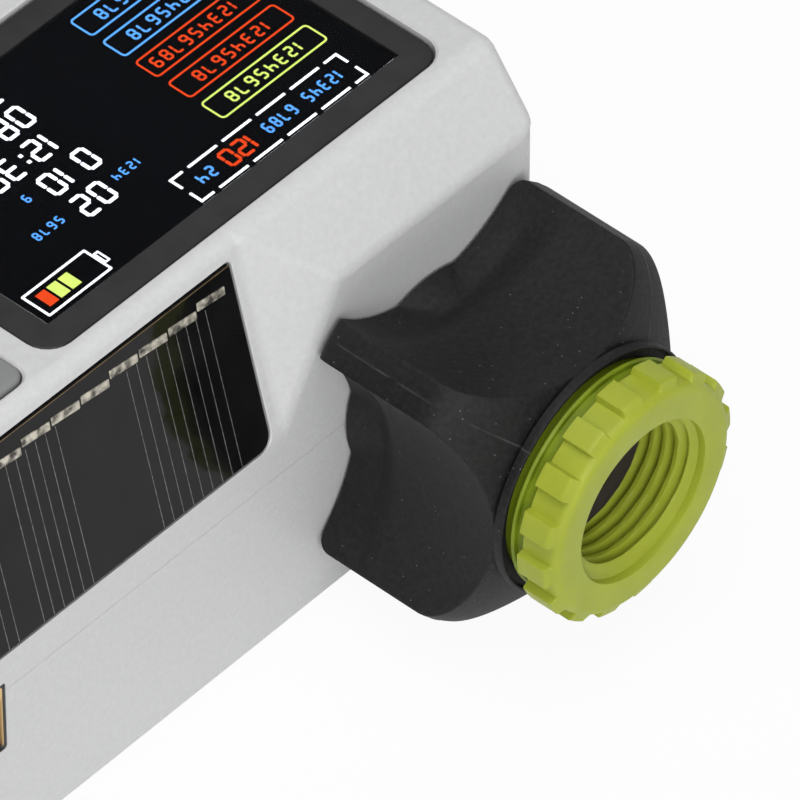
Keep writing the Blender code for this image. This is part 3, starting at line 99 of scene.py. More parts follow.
def calc(tree, operation, *values):
    """A sum of numbers and other nodes' results."""
    node = tree.nodes.new("ShaderNodeMath")
    node.operation = operation
    for socket, value in zip(node.inputs, values):
        if isinstance(value, float):
            socket.default_value = value
        else:
            tree.links.new(value, socket)
    return node.outputs[0]


paper, tree, shader, place = look("white_paper")
tree.links.new(ramp(tree, noise(tree, place, PAPER_PATCH), *PAPER_SHADES), shader.inputs["Base Color"])
shader.inputs["Roughness"].default_value = 1.0
shader.inputs["Specular IOR Level"].default_value = 0.0
ray = tree.nodes.new("ShaderNodeLightPath")
seen = calc(tree, "ADD", ray.outputs["Is Camera Ray"], ray.outputs["Is Glossy Ray"])
seen = calc(tree, "ADD", seen, ray.outputs["Is Transmission Ray"])
glow = tree.nodes.new("ShaderNodeEmission")
both = tree.nodes.new("ShaderNodeMixShader")
tree.links.new(calc(tree, "MULTIPLY", seen, PAPER_GLOW), both.inputs[0])
tree.links.new(shader.outputs[0], both.inputs[1])
tree.links.new(glow.outputs[0], both.inputs[2])
tree.links.new(both.outputs[0], tree.nodes["Material Output"].inputs["Surface"])
bm = bmesh.new()
bmesh.ops.create_grid(bm, x_segments=2, y_segments=2, size=FLOOR_HALF)
bmesh.ops.translate(bm, vec=(0, 0, -FLOOR_DROP), verts=bm.verts)
mesh = bpy.data.meshes.new("paper_floor")
bm.to_mesh(mesh)
bm.free()
mesh.materials.append(paper)
floor = bpy.data.objects.new("paper_floor", mesh)
scene.collection.objects.link(floor)

# Studio light: a large softbox overhead, one beside the camera and a weak one low behind the timer.
# Nothing bright stands where the display mirrors it, so the dark screen stays dark.
WORLD_LIGHT = 0.20
SOFTBOXES = (("top_softbox", (0.15, 0.15, 1.25), 0.95, 8.9),
             ("camera_softbox", (0.72, 1.05, 0.66), 0.8, 9.7),
             ("back_softbox", (-1.1, -1.0, 0.3), 0.6, 3.0))
LIGHT_AIM = Vector((0, 0, 0.03))

world = bpy.data.worlds.new("studio")
world.use_nodes = True
world.node_tree.nodes["Background"].inputs["Strength"].default_value = WORLD_LIGHT
world.node_tree.nodes["Background"].inputs["Color"].default_value = (1, 1, 1, 1)
scene.world = world
for name, position, size, power in SOFTBOXES:
    light = bpy.data.lights.new(name, "AREA")
    light.size = size
    light.energy = power
    lamp = bpy.data.objects.new(name, light)
    lamp.location = position
    lamp.rotation_euler = (Vector(position) - LIGHT_AIM).to_track_quat("Z", "Y").to_euler()
    lamp.visible_camera = False
    scene.collection.objects.link(lamp)

# Camera: a long lens about 45 degrees over the display's plane, from the inlet's corner.
# It stands well back from the timer, so that parallel edges stay nearly parallel.
VIEW_TURN = math.radians(41.95)
VIEW_RISE = math.radians(45.2)
VIEW_DISTANCE = 1.44
VIEW_TARGET = Vector((-0.0338, 0.0276, 0.0215))
VIEW_LENS = 550.8
SENSOR_WIDTH = 36

sight = Vector((math.cos(VIEW_TURN) * math.cos(VIEW_RISE), math.sin(VIEW_TURN) * math.cos(VIEW_RISE),
                math.sin(VIEW_RISE)))
camera_data = bpy.data.cameras.new("camera")
camera_data.lens = VIEW_LENS
camera_data.sensor_width = SENSOR_WIDTH
camera = bpy.data.objects.new("camera", camera_data)
camera.location = VIEW_TARGET + sight * VIEW_DISTANCE
camera.rotation_euler = sight.to_track_quat("Z", "Y").to_euler()
scene.collection.objects.link(camera)
scene.camera = camera

# Rear shell: the moulded tray that carries the battery, the valve and the motor.
# It is light grey plastic with a fine spark grain, with screw wells and a bare sunk panel in its back.
LEFT, RIGHT = -0.058, 0.058
BACK, FRONT = -0.044, 0.028
TOP = 0.0595
SEAM = 0.0255
SEAM_GAP = 0.00003
WALL = 0.003
CORNER = 0.003
REAR_RIM = 0.0002
WATER_X = -0.0374
WATER_HOLE = 0.0103
BOSS_INSET = 0.0058
BOSS_RADIUS = 0.0036
WELL_RADIUS = 0.00335
WELL_DEPTH = 0.012
SOCKET_FIT = 0.0003
PLATE_LEFT, PLATE_RIGHT = 0.0342, 0.0459
PLATE_BOTTOM, PLATE_TOP = 0.0160, 0.0269
PLATE_DEPTH = 0.0012
PLATE_CORNER = 0.0005
BACK_PANEL = (0.066, 0.034, 0.0004)
PANEL_CORNER = 0.003
SHELL_GREY = (0.655, 0.658, 0.660)
DUST_BROWN = (0.30, 0.28, 0.26)
SHEEN_SPREAD = 0.06
SPECK_CORE, SPECK_CUT = 0.6, 0.02
ROUND_STEPS = 6
TINY = 1e-6
FACING_UP = 0.99
SMOOTH_ANGLE = math.radians(28)


def bump(tree, shader, height, depth):
    """Relief of a given depth on the shader's surface."""
    node = tree.nodes.new("ShaderNodeBump")
    node.inputs["Distance"].default_value = depth
    tree.links.new(height, node.inputs["Height"])
    tree.links.new(node.outputs["Normal"], shader.inputs["Normal"])


def tint(colour, share):
    """A colour made lighter or darker."""
    return tuple(channel * share for channel in colour)


def plastic(name, colour, roughness, grain, depth, mottle=0.03, patch=0.012, specular=0.5):
    """Moulded plastic: faint mottling, uneven sheen and a fine grain."""
    material, tree, shader, place = look(name)
    clouds = noise(tree, place, patch, 4)
    tree.links.new(ramp(tree, clouds, tint(colour, 1 - mottle), tint(colour, 1 + mottle)),
                   shader.inputs["Base Color"])
    sheen = noise(tree, place, patch / 4, 3)
    tree.links.new(spread(tree, sheen, roughness - SHEEN_SPREAD, roughness + SHEEN_SPREAD),
                   shader.inputs["Roughness"])
    shader.inputs["Specular IOR Level"].default_value = specular
    bump(tree, shader, noise(tree, place, grain, 3), depth)
    return material


def over(material, colour, mask):
    """Lays a colour over a material's own where a mask is 1."""
    tree = material.node_tree
    base = tree.nodes["Principled BSDF"].inputs["Base Color"]
    blend = tree.nodes.new("ShaderNodeMix")
    blend.data_type = "RGBA"
    tree.links.new(mask, blend.inputs[0])
    tree.links.new(base.links[0].from_socket, blend.inputs[6])
    blend.inputs[7].default_value = (*colour, 1)
    tree.links.new(blend.outputs[2], base)


def own_place(material):
    """The coordinates that a material already uses."""
    return next(node for node in material.node_tree.nodes if node.type == "TEX_COORD").outputs["Object"]


def specks(material, colour, spacing, size, share):
    """Sparse specks of dust or dirt over a material's own colour."""
    tree = material.node_tree
    cells = tree.nodes.new("ShaderNodeTexVoronoi")
    cells.inputs["Scale"].default_value = 1 / spacing
    tree.links.new(own_place(material), cells.inputs["Vector"])
    near = spread(tree, cells.outputs["Distance"], 1, 0, size / spacing * SPECK_CORE, size / spacing)
    split = tree.nodes.new("ShaderNodeSeparateColor")
    tree.links.new(cells.outputs["Color"], split.inputs[0])
    chosen = spread(tree, split.outputs[0], 0, 1, 1 - share, 1 - share + SPECK_CUT)
    over(material, colour, calc(tree, "MULTIPLY", near, chosen))


def block(low, high):
    """A plain block between two corners."""
    low, high = Vector(low), Vector(high)
    bm = bmesh.new()
    bmesh.ops.create_cube(bm, size=1.0)
    bmesh.ops.scale(bm, vec=high - low, verts=bm.verts)
    bmesh.ops.translate(bm, vec=(low + high) / 2, verts=bm.verts)
    return bm


def soften(bm, edges, radius, steps=4):
    """Rounds some edges of a shape."""
    bmesh.ops.bevel(bm, geom=edges, offset=radius, offset_type="OFFSET", segments=steps, profile=0.5,
                    affect="EDGES", material=-1, clamp_overlap=True)


def slab(low, high, corner, lip=0.0, steps=ROUND_STEPS):
    """An upright block with rounded corners, and a rounded edge round its top where it has a lip.

    Two corner radii stand for the sides of low and high Y.
    """
    bm = block(low, high)
    near, far = corner if isinstance(corner, tuple) else (corner, corner)
    uprights = [e for e in bm.edges if abs(e.verts[0].co.z - e.verts[1].co.z) > TINY]
    middle = (low[1] + high[1]) / 2
    near_side = [e for e in uprights if e.verts[0].co.y < middle]
    far_side = [e for e in uprights if e.verts[0].co.y > middle]
    soften(bm, near_side, near, steps)
    soften(bm, far_side, far, steps)
    if lip:
        top = max(v.co.z for v in bm.verts)
        soften(bm, [e for e in bm.edges if min(v.co.z for v in e.verts) > top - TINY], lip)
    return bm


def opening(low, high, corner, flare, steps=ROUND_STEPS):
    """A cutter for a mouth whose rim, at the height of high, gets a small chamfer."""
    low, high = Vector(low), Vector(high)
    bm = slab(low, high - Vector((0, 0, flare)), corner, steps=steps)
    bmesh.ops.recalc_face_normals(bm, faces=bm.faces)
    lid = [f for f in bm.faces if f.normal.z > FACING_UP]
    grown = bmesh.ops.extrude_face_region(bm, geom=lid)
    bmesh.ops.delete(bm, geom=lid, context="FACES_ONLY")
    rim = [v for v in grown["geom"] if isinstance(v, bmesh.types.BMVert)]
    size = high - low
    share = Vector(((size.x + 4 * flare) / size.x, (size.y + 4 * flare) / size.y, 1))
    bmesh.ops.translate(bm, vec=(0, 0, 2 * flare), verts=rim)
    bmesh.ops.scale(bm, vec=share, space=Matrix.Translation(-(low + high) / 2), verts=rim)
    return bm


def rod(foot, along, radius, length, sides=48):
    """A round bar from its foot along a direction."""
    along = Vector(along).normalized()
    bm = bmesh.new()
    bmesh.ops.create_cone(bm, cap_ends=True, segments=sides, radius1=radius, radius2=radius, depth=length)
    bmesh.ops.rotate(bm, verts=bm.verts, matrix=along.to_track_quat("Z", "Y").to_matrix())
    bmesh.ops.translate(bm, vec=Vector(foot) + along * length / 2, verts=bm.verts)
    return bm


def facing_front(shape):
    """Turns a shape modelled with its mouth up so that its mouth faces the inlet side."""
    bmesh.ops.rotate(shape, verts=shape.verts, matrix=Matrix.Rotation(math.radians(-90), 3, "X"))
    return shape


def gather(shapes):
    """Several shapes in one, for a single cut."""
    whole = bmesh.new()
    for shape in shapes:
        mesh = bpy.data.meshes.new("shape")
        shape.to_mesh(mesh)
        shape.free()
        whole.from_mesh(mesh)
        bpy.data.meshes.remove(mesh)
    return whole


def piece_of(name, bm, material):
    """An object at the origin made from a shape, with smooth rounds and crisp edges."""
    bmesh.ops.recalc_face_normals(bm, faces=bm.faces)
    mesh = bpy.data.meshes.new(name)
    bm.to_mesh(mesh)
    bm.free()
    mesh.materials.append(material)
    piece = bpy.data.objects.new(name, mesh)
    scene.collection.objects.link(piece)
    smooth(piece)
    return piece


def smooth(piece, angle=SMOOTH_ANGLE):
    """Smooth shading that stops at edges sharper than an angle."""
    piece.data.shade_smooth()
    piece.data.set_sharp_from_angle(angle=angle)


def settle(piece):
    """Makes a piece's modifiers part of its mesh."""
    bpy.context.view_layer.update()
    graph = bpy.context.evaluated_depsgraph_get()
    mesh = bpy.data.meshes.new_from_object(piece.evaluated_get(graph))
    piece.modifiers.clear()
    piece.data = mesh


def carve(piece, shape, operation="DIFFERENCE"):
    """Cuts a shape out of a piece, or joins it on."""
    tool = piece_of("tool", shape, piece.data.materials[0])
    modifier = piece.modifiers.new("cut", "BOOLEAN")
    modifier.operation = operation
    modifier.solver = "EXACT"
    modifier.object = tool
    settle(piece)
    bpy.data.objects.remove(tool)


def crisp(piece):
    """Keeps flat faces flat beside their rounded edges."""
    smooth(piece)
    modifier = piece.modifiers.new("flat_faces", "WEIGHTED_NORMAL")
    modifier.keep_sharp = True


def stands_for(piece, body, slot, *nodes):
    """A finished piece: the body it rides on and the nodes that it replaces; its finish, slot, is not used.
    """
    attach(piece, body)
    for node in nodes:
        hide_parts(node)


shell_grey = plastic("shell_grey_plastic", SHELL_GREY, roughness=0.48, grain=0.0004, depth=0.00003,
                     mottle=0.035, patch=0.0008, specular=0.4)
specks(shell_grey, DUST_BROWN, spacing=0.016, size=0.0003, share=0.22)
bm = slab((LEFT, BACK, 0), (RIGHT, FRONT, SEAM - SEAM_GAP), CORNER)
soften(bm, [e for e in bm.edges if max(v.co.z for v in e.verts) < TINY], REAR_RIM)
rear_shell = piece_of("rear_shell", bm, shell_grey)
carve(rear_shell, block((LEFT + WALL, BACK + WALL, WALL), (RIGHT - WALL, FRONT - WALL, TOP)))
boss_spots = [(x, y) for x in (LEFT + BOSS_INSET, RIGHT - BOSS_INSET)
              for y in (BACK + BOSS_INSET, FRONT - BOSS_INSET)]
carve(rear_shell, gather([rod((x, y, WALL / 2), (0, 0, 1), BOSS_RADIUS, SEAM - 2 * SEAM_GAP - WALL / 2)
                          for x, y in boss_spots]), "UNION")
panel_half = Vector((BACK_PANEL[0] / 2, BACK_PANEL[1] / 2, 0))
panel_middle = Vector(((LEFT + RIGHT) / 2, (BACK + FRONT) / 2, 0))
socket_low, socket_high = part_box("charging_socket")
socket_fit = Vector((SOCKET_FIT, 0, SOCKET_FIT))


def water_holes():
    """Cutters for the water line, through the inlet wall and through the outlet wall."""
    return [rod((WATER_X, foot, SEAM), (0, 1, 0), WATER_HOLE, 3 * WALL)
            for foot in (FRONT - 2 * WALL, BACK - WALL)]


def plate_form(inset, back, face):
    """A slab in the inlet wall, drawn in by an inset from the edge of the socket's plate."""
    return facing_front(slab((PLATE_LEFT + inset, inset - PLATE_TOP, back),
                             (PLATE_RIGHT - inset, -PLATE_BOTTOM - inset, face), PLATE_CORNER))


carve(rear_shell, gather(
    [rod((x, y, -WALL), (0, 0, 1), WELL_RADIUS, WELL_DEPTH + WALL) for x, y in boss_spots]
    + [slab(panel_middle - panel_half - Vector((0, 0, WALL)),
            panel_middle + panel_half + Vector((0, 0, BACK_PANEL[2])), PANEL_CORNER)]
    + water_holes()))
carve(rear_shell, plate_form(0, FRONT - PLATE_DEPTH, FRONT + WALL))
carve(rear_shell, block(socket_low - socket_fit, socket_high + socket_fit))
crisp(rear_shell)
stands_for(rear_shell, "housing", "shell_grey", "rear_housing")

# Front shell: the moulded cover, with a bevel along the inlet side that breaks into a sloping shoulder.
# It is the same grey plastic, with mouths for the display frame, the keys and the solar panel.
EDGE_Y = 0.02085
BEVEL_DROP = 0.0097
SOLAR_DROP = 0.0282
FACET_X = -0.013
FACET_TOE = 0.0098
FRONT_RIM = 0.0020
EDGE_SOFT = 0.0016
BEVEL_SOFT = 0.0010
FOLD_SOFT = 0.0006
FLARE = 0.00025
FIT = 0.0003
BEZEL_CORNER = 0.0033
LEDGE = 0.003
KEY_CORNER = 0.0018
KEY_SHIFT = Vector((-0.0004, 0.0010, 0))
KEY_FLANGE = 0.0007
SOLAR_LEFT, SOLAR_RIGHT = -0.0112, 0.054
SOLAR_FROM_EDGE = 0.0029
SOLAR_LENGTH = 0.0262
SOLAR_THICKNESS = 0.0012
SOLAR_CORNERS = (0.0006, 0.002)
SAME_PLANE = math.radians(0.5)

bezel_low, bezel_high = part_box("display_bezel")
slope_down = Vector((0, FRONT - EDGE_Y, -SOLAR_DROP)).normalized()
slope_out = Vector((1, 0, 0)).cross(slope_down)
slope_middle = (Vector(((SOLAR_LEFT + SOLAR_RIGHT) / 2, EDGE_Y, TOP))
                + slope_down * (SOLAR_FROM_EDGE + SOLAR_LENGTH / 2))
slope_frame = Matrix.Translation(slope_middle) @ Matrix((Vector((1, 0, 0)), slope_down, slope_out)
                                                        ).transposed().to_4x4()


def cover_form(inset, low):
    """The cover's solid form, drawn in by an inset: an outline run along X, lower on the right."""
    high = TOP - inset
    front = FRONT - inset

    def outline(drop):
        run = FRONT - EDGE_Y
        draw_in = inset * math.hypot(run, drop)
        shoulder_y = EDGE_Y - (draw_in + run * (high - TOP)) / drop
        shoulder_z = TOP - (draw_in + drop * (front - EDGE_Y)) / run
        back = BACK + inset
        return [(back, low), (front, low), (front, shoulder_z), (shoulder_y, high), (back, high)]

    stations = [(LEFT + inset, BEVEL_DROP), (FACET_X - FACET_TOE, BEVEL_DROP), (FACET_X, SOLAR_DROP),
                (RIGHT - inset, SOLAR_DROP)]
    bm = bmesh.new()
    ring = [bm.verts.new((stations[0][0], y, z)) for y, z in outline(BEVEL_DROP)]
    face = bm.faces.new(ring)
    twisted = None
    for number, (x, drop) in enumerate(stations[1:]):
        grown = bmesh.ops.extrude_face_region(bm, geom=[face])["geom"]
        if number:
            bmesh.ops.delete(bm, geom=[face], context="FACES_ONLY")
        face = next(item for item in grown if isinstance(item, bmesh.types.BMFace))
        spots = [vert.co.copy() for vert in ring]
        fresh = [item for item in grown if isinstance(item, bmesh.types.BMVert)]
        following = [min(fresh, key=lambda vert: (vert.co - spot).length) for spot in spots]
        for vert, (y, z) in zip(following, outline(drop)):
            vert.co = (x, y, z)
        if number == 1:
            twisted = (ring[2], following[3])
        ring = following
    bmesh.ops.connect_vert_pair(bm, verts=twisted)
    bmesh.ops.dissolve_limit(bm, angle_limit=SAME_PLANE, verts=bm.verts, edges=bm.edges)
    bmesh.ops.recalc_face_normals(bm, faces=bm.faces)
    return bm


bm = cover_form(0, SEAM + SEAM_GAP)
weights = bm.edges.layers.float.new("bevel_weight_edge")
for edge in bm.edges:
    first, second = (vert.co for vert in edge.verts)
    middle = (first + second) / 2
    if max(first.z, second.z) < SEAM + 2 * SEAM_GAP:
        radius = 0
    elif abs(first.x - second.x) + abs(first.y - second.y) < TINY:
        radius = CORNER
    elif middle.x < LEFT + TINY or middle.x > RIGHT - TINY or middle.y < BACK + TINY:
        radius = FRONT_RIM
    elif min(first.z, second.z) > TOP - TINY:
        radius = EDGE_SOFT
    elif abs(first.y - second.y) < TINY:
        radius = BEVEL_SOFT
    else:
        radius = FOLD_SOFT
    edge[weights] = radius / CORNER
front_shell = piece_of("front_shell", bm, shell_grey)
modifier = front_shell.modifiers.new("rounding", "BEVEL")
modifier.limit_method = "WEIGHT"
modifier.width = CORNER
modifier.segments = ROUND_STEPS
modifier.use_clamp_overlap = False
settle(front_shell)
carve(front_shell, cover_form(WALL, SEAM - WALL))
key_boxes = []
for number in range(1, 5):
    low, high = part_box(f"key_{number}")
    edge = Vector((KEY_FLANGE, KEY_FLANGE, 0))
    key_boxes.append((low + edge + KEY_SHIFT, high - edge + KEY_SHIFT))
fit = Vector((FIT, FIT, 0))
solar_width = SOLAR_RIGHT - SOLAR_LEFT
solar_mouth = opening((-solar_width / 2 - FIT, -SOLAR_LENGTH / 2 - FIT, -SOLAR_THICKNESS - FIT),
                      (solar_width / 2 + FIT, SOLAR_LENGTH / 2 + FIT, 0),
                      tuple(corner + FIT for corner in SOLAR_CORNERS), FLARE / 2)
bmesh.ops.transform(solar_mouth, matrix=slope_frame, verts=solar_mouth.verts)
bezel_mouth = opening(bezel_low - fit - Vector((0, 0, FIT)), (bezel_high.x + FIT, bezel_high.y + FIT, TOP),
                      BEZEL_CORNER + FIT, FLARE)
key_mouths = [opening((low.x - FIT, low.y - FIT, low.z - WALL), (high.x + FIT, high.y + FIT, TOP),
                      KEY_CORNER + FIT, FLARE) for low, high in key_boxes]
carve(front_shell, gather([bezel_mouth, solar_mouth] + key_mouths + water_holes()))
ledge = Vector((LEDGE - FIT, LEDGE - FIT, -3 * WALL))
carve(front_shell, block(bezel_low + ledge, bezel_high - ledge))
carve(front_shell, plate_form(0, FRONT - PLATE_DEPTH, FRONT + WALL))
crisp(front_shell)
stands_for(front_shell, "housing", "shell_grey", "front_housing")

# Display frame: a flat black frame bedded in the cover, with rounded corners outside and square ones inside.
# It is moulded in satin black plastic, with its edges just broken.
FRAME_BORDER = 0.0038
FRAME_LIP = 0.00035
FRAME_STEPS = 8
BEZEL_BLACK = (0.024, 0.024, 0.0245)

bezel_black = plastic("bezel_black_plastic", BEZEL_BLACK, roughness=0.42, grain=0.0003, depth=0.000008,
                      mottle=0.05, specular=0.45)
frame_form = slab(bezel_low, bezel_high, BEZEL_CORNER, FRAME_LIP, FRAME_STEPS)
display_frame = piece_of("display_frame", frame_form, bezel_black)
border = Vector((FRAME_BORDER, FRAME_BORDER, 0))
through = Vector((0, 0, WALL))
carve(display_frame, block(bezel_low + border - through, bezel_high - border + through))
crisp(display_frame)
stands_for(display_frame, "housing", "bezel_black", "display_bezel")

# Display: a dark liquid crystal panel that lights its marks in white, red, lime and blue.
# The marks are plain numbers, outlines and bars, each a thin lit film on the panel's face.
MM = 0.001
PANE = 0.0003
PANE_GAP = 0.0001
LCD_SHADES = ((0.0010, 0.0014, 0.0026), (0.0017, 0.00238, 0.00442))
MARK_LIFT = 0.00002
MARK_SHIFT = (0.00185, 0.00222)
MARK_THICKNESS = 0.04
MARK_COLOURS = {"white": (0.88, 0.92, 0.98), "red": (0.56, 0.046, 0.008), "lime": (0.50, 0.62, 0.13),
                "blue": (0.085, 0.31, 0.82)}
MARK_DIM, MARK_PATCH = 0.9, 0.0008
SEGMENTS = {"0": "abcdef", "1": "bc", "2": "abged", "3": "abgcd", "4": "fgbc", "5": "afgcd", "6": "afgedc",
            "7": "abc", "8": "abcdefg", "9": "abcdfg"}
SEGMENT_GAP = 0.15
COLON_LEVELS, COLON_SHIFT = (0.32, 0.68), 0.4
ROWS = (("lime", "12345678", " 02"), ("red", "12345678", "010"), ("red", "123456789", "12:30"),
        ("blue", "12345678", "08:00"), ("blue", "12345678", "20:00"))
ROW_PITCH, ROW_TOP, ROW_HEIGHT = 5.2, 0.25, 3.85
ROW_LEFT, ROW_RIGHT = -47.0, -28.7
ROW_ROUND, ROW_STROKE = 0.65, 0.26
LABEL_LEFT, LABEL_RISE, LABEL_SIZE = 2.4, 0.95, (1.15, 1.95, 1.68, 0.30)
VALUE_LEFT, VALUE_DROP, VALUE_SIZE = -14.4, 0.3, (2.3, 3.85, 2.85, 0.50)
UNIT_SIZE = (0.8, 1.4, 1.25, 0.22)
OTHER_FIGURES = (("blue", "1234", (-17.6, 0.6), UNIT_SIZE), ("blue", "5678", (-4.2, 0.6), UNIT_SIZE),
                 ("blue", "9", (-4.2, -4.6), UNIT_SIZE),
                 ("blue", "12345 6789", (-44.0, 7.9), (0.95, 1.9, 1.38, 0.28)),
                 ("red", "120", (-29.9, 7.4), (1.95, 2.95, 2.2, 0.42)),
                 ("blue", "24", (-22.0, 7.9), (1.1, 1.9, 1.6, 0.3)))
DASH_LEFT, DASH_RIGHT, DASH_LOW, DASH_HIGH = -45.7, -16.9, 6.25, 11.6
DASHES, DASH, DASH_GAP, DASH_STROKE = 4, 4.9, 0.95, 0.36
CORNER_DASH = 2.1
BATTERY_OUTLINES = (((-2.15, 6.7), (8.5, 11.3), 0.2, 0.32), ((-3.05, 8.0), (-2.2, 10.1), 0.1, 0.26))
CHARGE_COLOURS = ("lime", "lime", "red")
CHARGE_LEFT, CHARGE_PITCH, CHARGE_WIDTH = 1.9, 1.9, 1.5
CHARGE_LOW, CHARGE_HIGH = 7.75, 10.2


def clouded(name, shades, patch, roughness, sheen_patch, sockets, detail=2.0):
    """A finish whose colour and roughness vary in clouds, with other sockets of its shader as given."""
    material, tree, shader, place = look(name)
    tree.links.new(ramp(tree, noise(tree, place, patch, detail), *shades), shader.inputs["Base Color"])
    tree.links.new(spread(tree, noise(tree, place, sheen_patch), *roughness), shader.inputs["Roughness"])
    for socket, value in sockets.items():
        shader.inputs[socket].default_value = value
    return material


def dress(material, *nodes):
    """Gives carried-over nodes a finish."""
    for node in nodes:
        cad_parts[node].data.materials.clear()
        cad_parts[node].data.materials.append(material)


lcd_dark = clouded("lcd_dark_glass", LCD_SHADES, patch=0.03, roughness=(0.32, 0.40), sheen_patch=0.004,
                   sockets={"Specular IOR Level": 0.0})
dress(lcd_dark, "lcd_module")
lens_low, lens_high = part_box("screen_lens")
glass_face = lens_high.z - PANE - PANE_GAP
glass = piece_of("display_glass", block(lens_low, (lens_high.x, lens_high.y, glass_face)), lcd_dark)
stands_for(glass, "housing", "lcd_dark")
marks = {colour: bmesh.new() for colour in MARK_COLOURS}


def bar(bm, middle, length, stroke, upright=False):
    """A lit bar with pointed ends, as in a seven segment figure."""
    point = stroke / math.sqrt(3)
    quarter_turn = Matrix.Rotation(math.radians(90), 3, "Z")
    grown = bmesh.ops.create_circle(bm, cap_ends=True, segments=6, radius=point)["verts"]
    bmesh.ops.rotate(bm, verts=grown, matrix=quarter_turn)
    for vert in grown:
        vert.co.x += math.copysign(length / 2 - point, vert.co.x)
    if upright:
        bmesh.ops.rotate(bm, verts=grown, matrix=quarter_turn)
    bmesh.ops.translate(bm, vec=(*middle, 0), verts=grown)


def patch(bm, low, high, rounding=0.0, stroke=0.0):
    """A lit rectangle, or its outline where a stroke is given."""
    grown = bmesh.ops.create_grid(bm, x_segments=1, y_segments=1, size=0.5)["verts"]
    bmesh.ops.scale(bm, vec=(high[0] - low[0], high[1] - low[1], 1), verts=grown)
    bmesh.ops.translate(bm, vec=((low[0] + high[0]) / 2, (low[1] + high[1]) / 2, 0), verts=grown)
    face = grown[0].link_faces[0]
    if rounding:
        rim = bmesh.ops.bevel(bm, geom=grown, offset=rounding, segments=4, profile=0.5, affect="VERTICES",
                              material=-1)["verts"]
        face = rim[0].link_faces[0]
    if stroke:
        bmesh.ops.inset_region(bm, faces=[face], thickness=stroke, use_even_offset=True, use_boundary=True)
        bmesh.ops.delete(bm, geom=[face], context="FACES_ONLY")


def figure(bm, digit, left, low, width, height, stroke):
    """One seven segment figure."""
    half = (height - stroke) / 2
    foot = low + stroke / 2
    first, last = left + stroke / 2, left + width - stroke / 2
    levels = {"a": foot + 2 * half, "g": foot + half, "d": foot}
    sides = {"f": (first, 1.5), "e": (first, 0.5), "b": (last, 1.5), "c": (last, 0.5)}
    for segment in SEGMENTS[digit]:
        if segment in levels:
            bar(bm, (left + width / 2, levels[segment]), width - stroke * (1 + SEGMENT_GAP), stroke)
        else:
            side, halves = sides[segment]
            bar(bm, (side, foot + half * halves), half - stroke * SEGMENT_GAP, stroke, upright=True)


def figures(colour, text, corner, size):
    """A row of figures; a colon takes half a place and a space a whole one."""
    left, low = corner
    width, height, pitch, stroke = size
    for sign in text:
        if sign == ":":
            for share in COLON_LEVELS:
                dot = Vector((left + stroke * COLON_SHIFT, low + height * share))
                half = Vector((stroke, stroke)) / 2
                patch(marks[colour], dot - half, dot + half)
            left += pitch / 2
            continue
        if sign != " ":
            figure(marks[colour], sign, left, low, width, height, stroke)
        left += pitch


for number, (colour, label, value) in enumerate(ROWS):
    low = ROW_TOP - number * ROW_PITCH
    patch(marks[colour], (ROW_LEFT, low), (ROW_RIGHT, low + ROW_HEIGHT), ROW_ROUND, ROW_STROKE)
    figures(colour, label, (ROW_LEFT + LABEL_LEFT, low + LABEL_RISE), LABEL_SIZE)
    figures("white", value, (VALUE_LEFT, low - VALUE_DROP), VALUE_SIZE)
for colour, text, corner, size in OTHER_FIGURES:
    figures(colour, text, corner, size)
dash_step = DASH + DASH_GAP
first_dash = (DASH_LEFT + DASH_RIGHT + DASH_GAP - DASHES * dash_step) / 2
dash_ends = [(first_dash + number * dash_step, first_dash + number * dash_step + DASH)
             for number in range(DASHES)]
dash_ends += [(DASH_LEFT, first_dash - DASH_GAP), (first_dash + DASHES * dash_step, DASH_RIGHT)]
for low in (DASH_LOW, DASH_HIGH - DASH_STROKE):
    for left, right in dash_ends:
        patch(marks["white"], (left, low), (right, low + DASH_STROKE))
for left in (DASH_LEFT, DASH_RIGHT - DASH_STROKE):
    for low, high in ((DASH_LOW + DASH_STROKE, DASH_LOW + CORNER_DASH),
                      (DASH_HIGH - CORNER_DASH, DASH_HIGH - DASH_STROKE)):
        patch(marks["white"], (left, low), (left + DASH_STROKE, high))
for low, high, rounding, stroke in BATTERY_OUTLINES:
    patch(marks["white"], low, high, rounding, stroke)
for number, colour in enumerate(CHARGE_COLOURS):
    left = CHARGE_LEFT + CHARGE_PITCH * number
    patch(marks[colour], (left, CHARGE_LOW), (left + CHARGE_WIDTH, CHARGE_HIGH))
on_glass = Matrix.Translation((*MARK_SHIFT, glass_face + MARK_LIFT)) @ Matrix.Scale(MM, 4)
for colour, bm in marks.items():
    grown = bmesh.ops.extrude_face_region(bm, geom=bm.faces[:])["geom"]
    bmesh.ops.translate(bm, vec=(0, 0, MARK_THICKNESS),
                        verts=[item for item in grown if isinstance(item, bmesh.types.BMVert)])
    bmesh.ops.transform(bm, matrix=on_glass, verts=bm.verts)
    lit, tree, shader, place = look(f"lit_{colour}")
    flicker = ramp(tree, noise(tree, place, MARK_PATCH), tint(MARK_COLOURS[colour], MARK_DIM),
                   MARK_COLOURS[colour])
    tree.links.new(flicker, shader.inputs["Emission Color"])
    tree.links.new(flicker, shader.inputs["Base Color"])
    shader.inputs["Emission Strength"].default_value = 1.0
    shader.inputs["Specular IOR Level"].default_value = 0.0
    shader.inputs["Roughness"].default_value = 0.5
    stands_for(piece_of(f"display_marks_{colour}", bm, lit), "housing", "lcd_dark")

# Display window: a flat clear pane that lies inside the frame, over the panel.
# It is cast clear plastic with its edges polished.
LENS_LIP = 0.00004
LENS_CORNER = 0.0001
LENS_STEPS = 4
WINDOW_SHADES = ((0.96, 0.97, 0.98), (1, 1, 1))

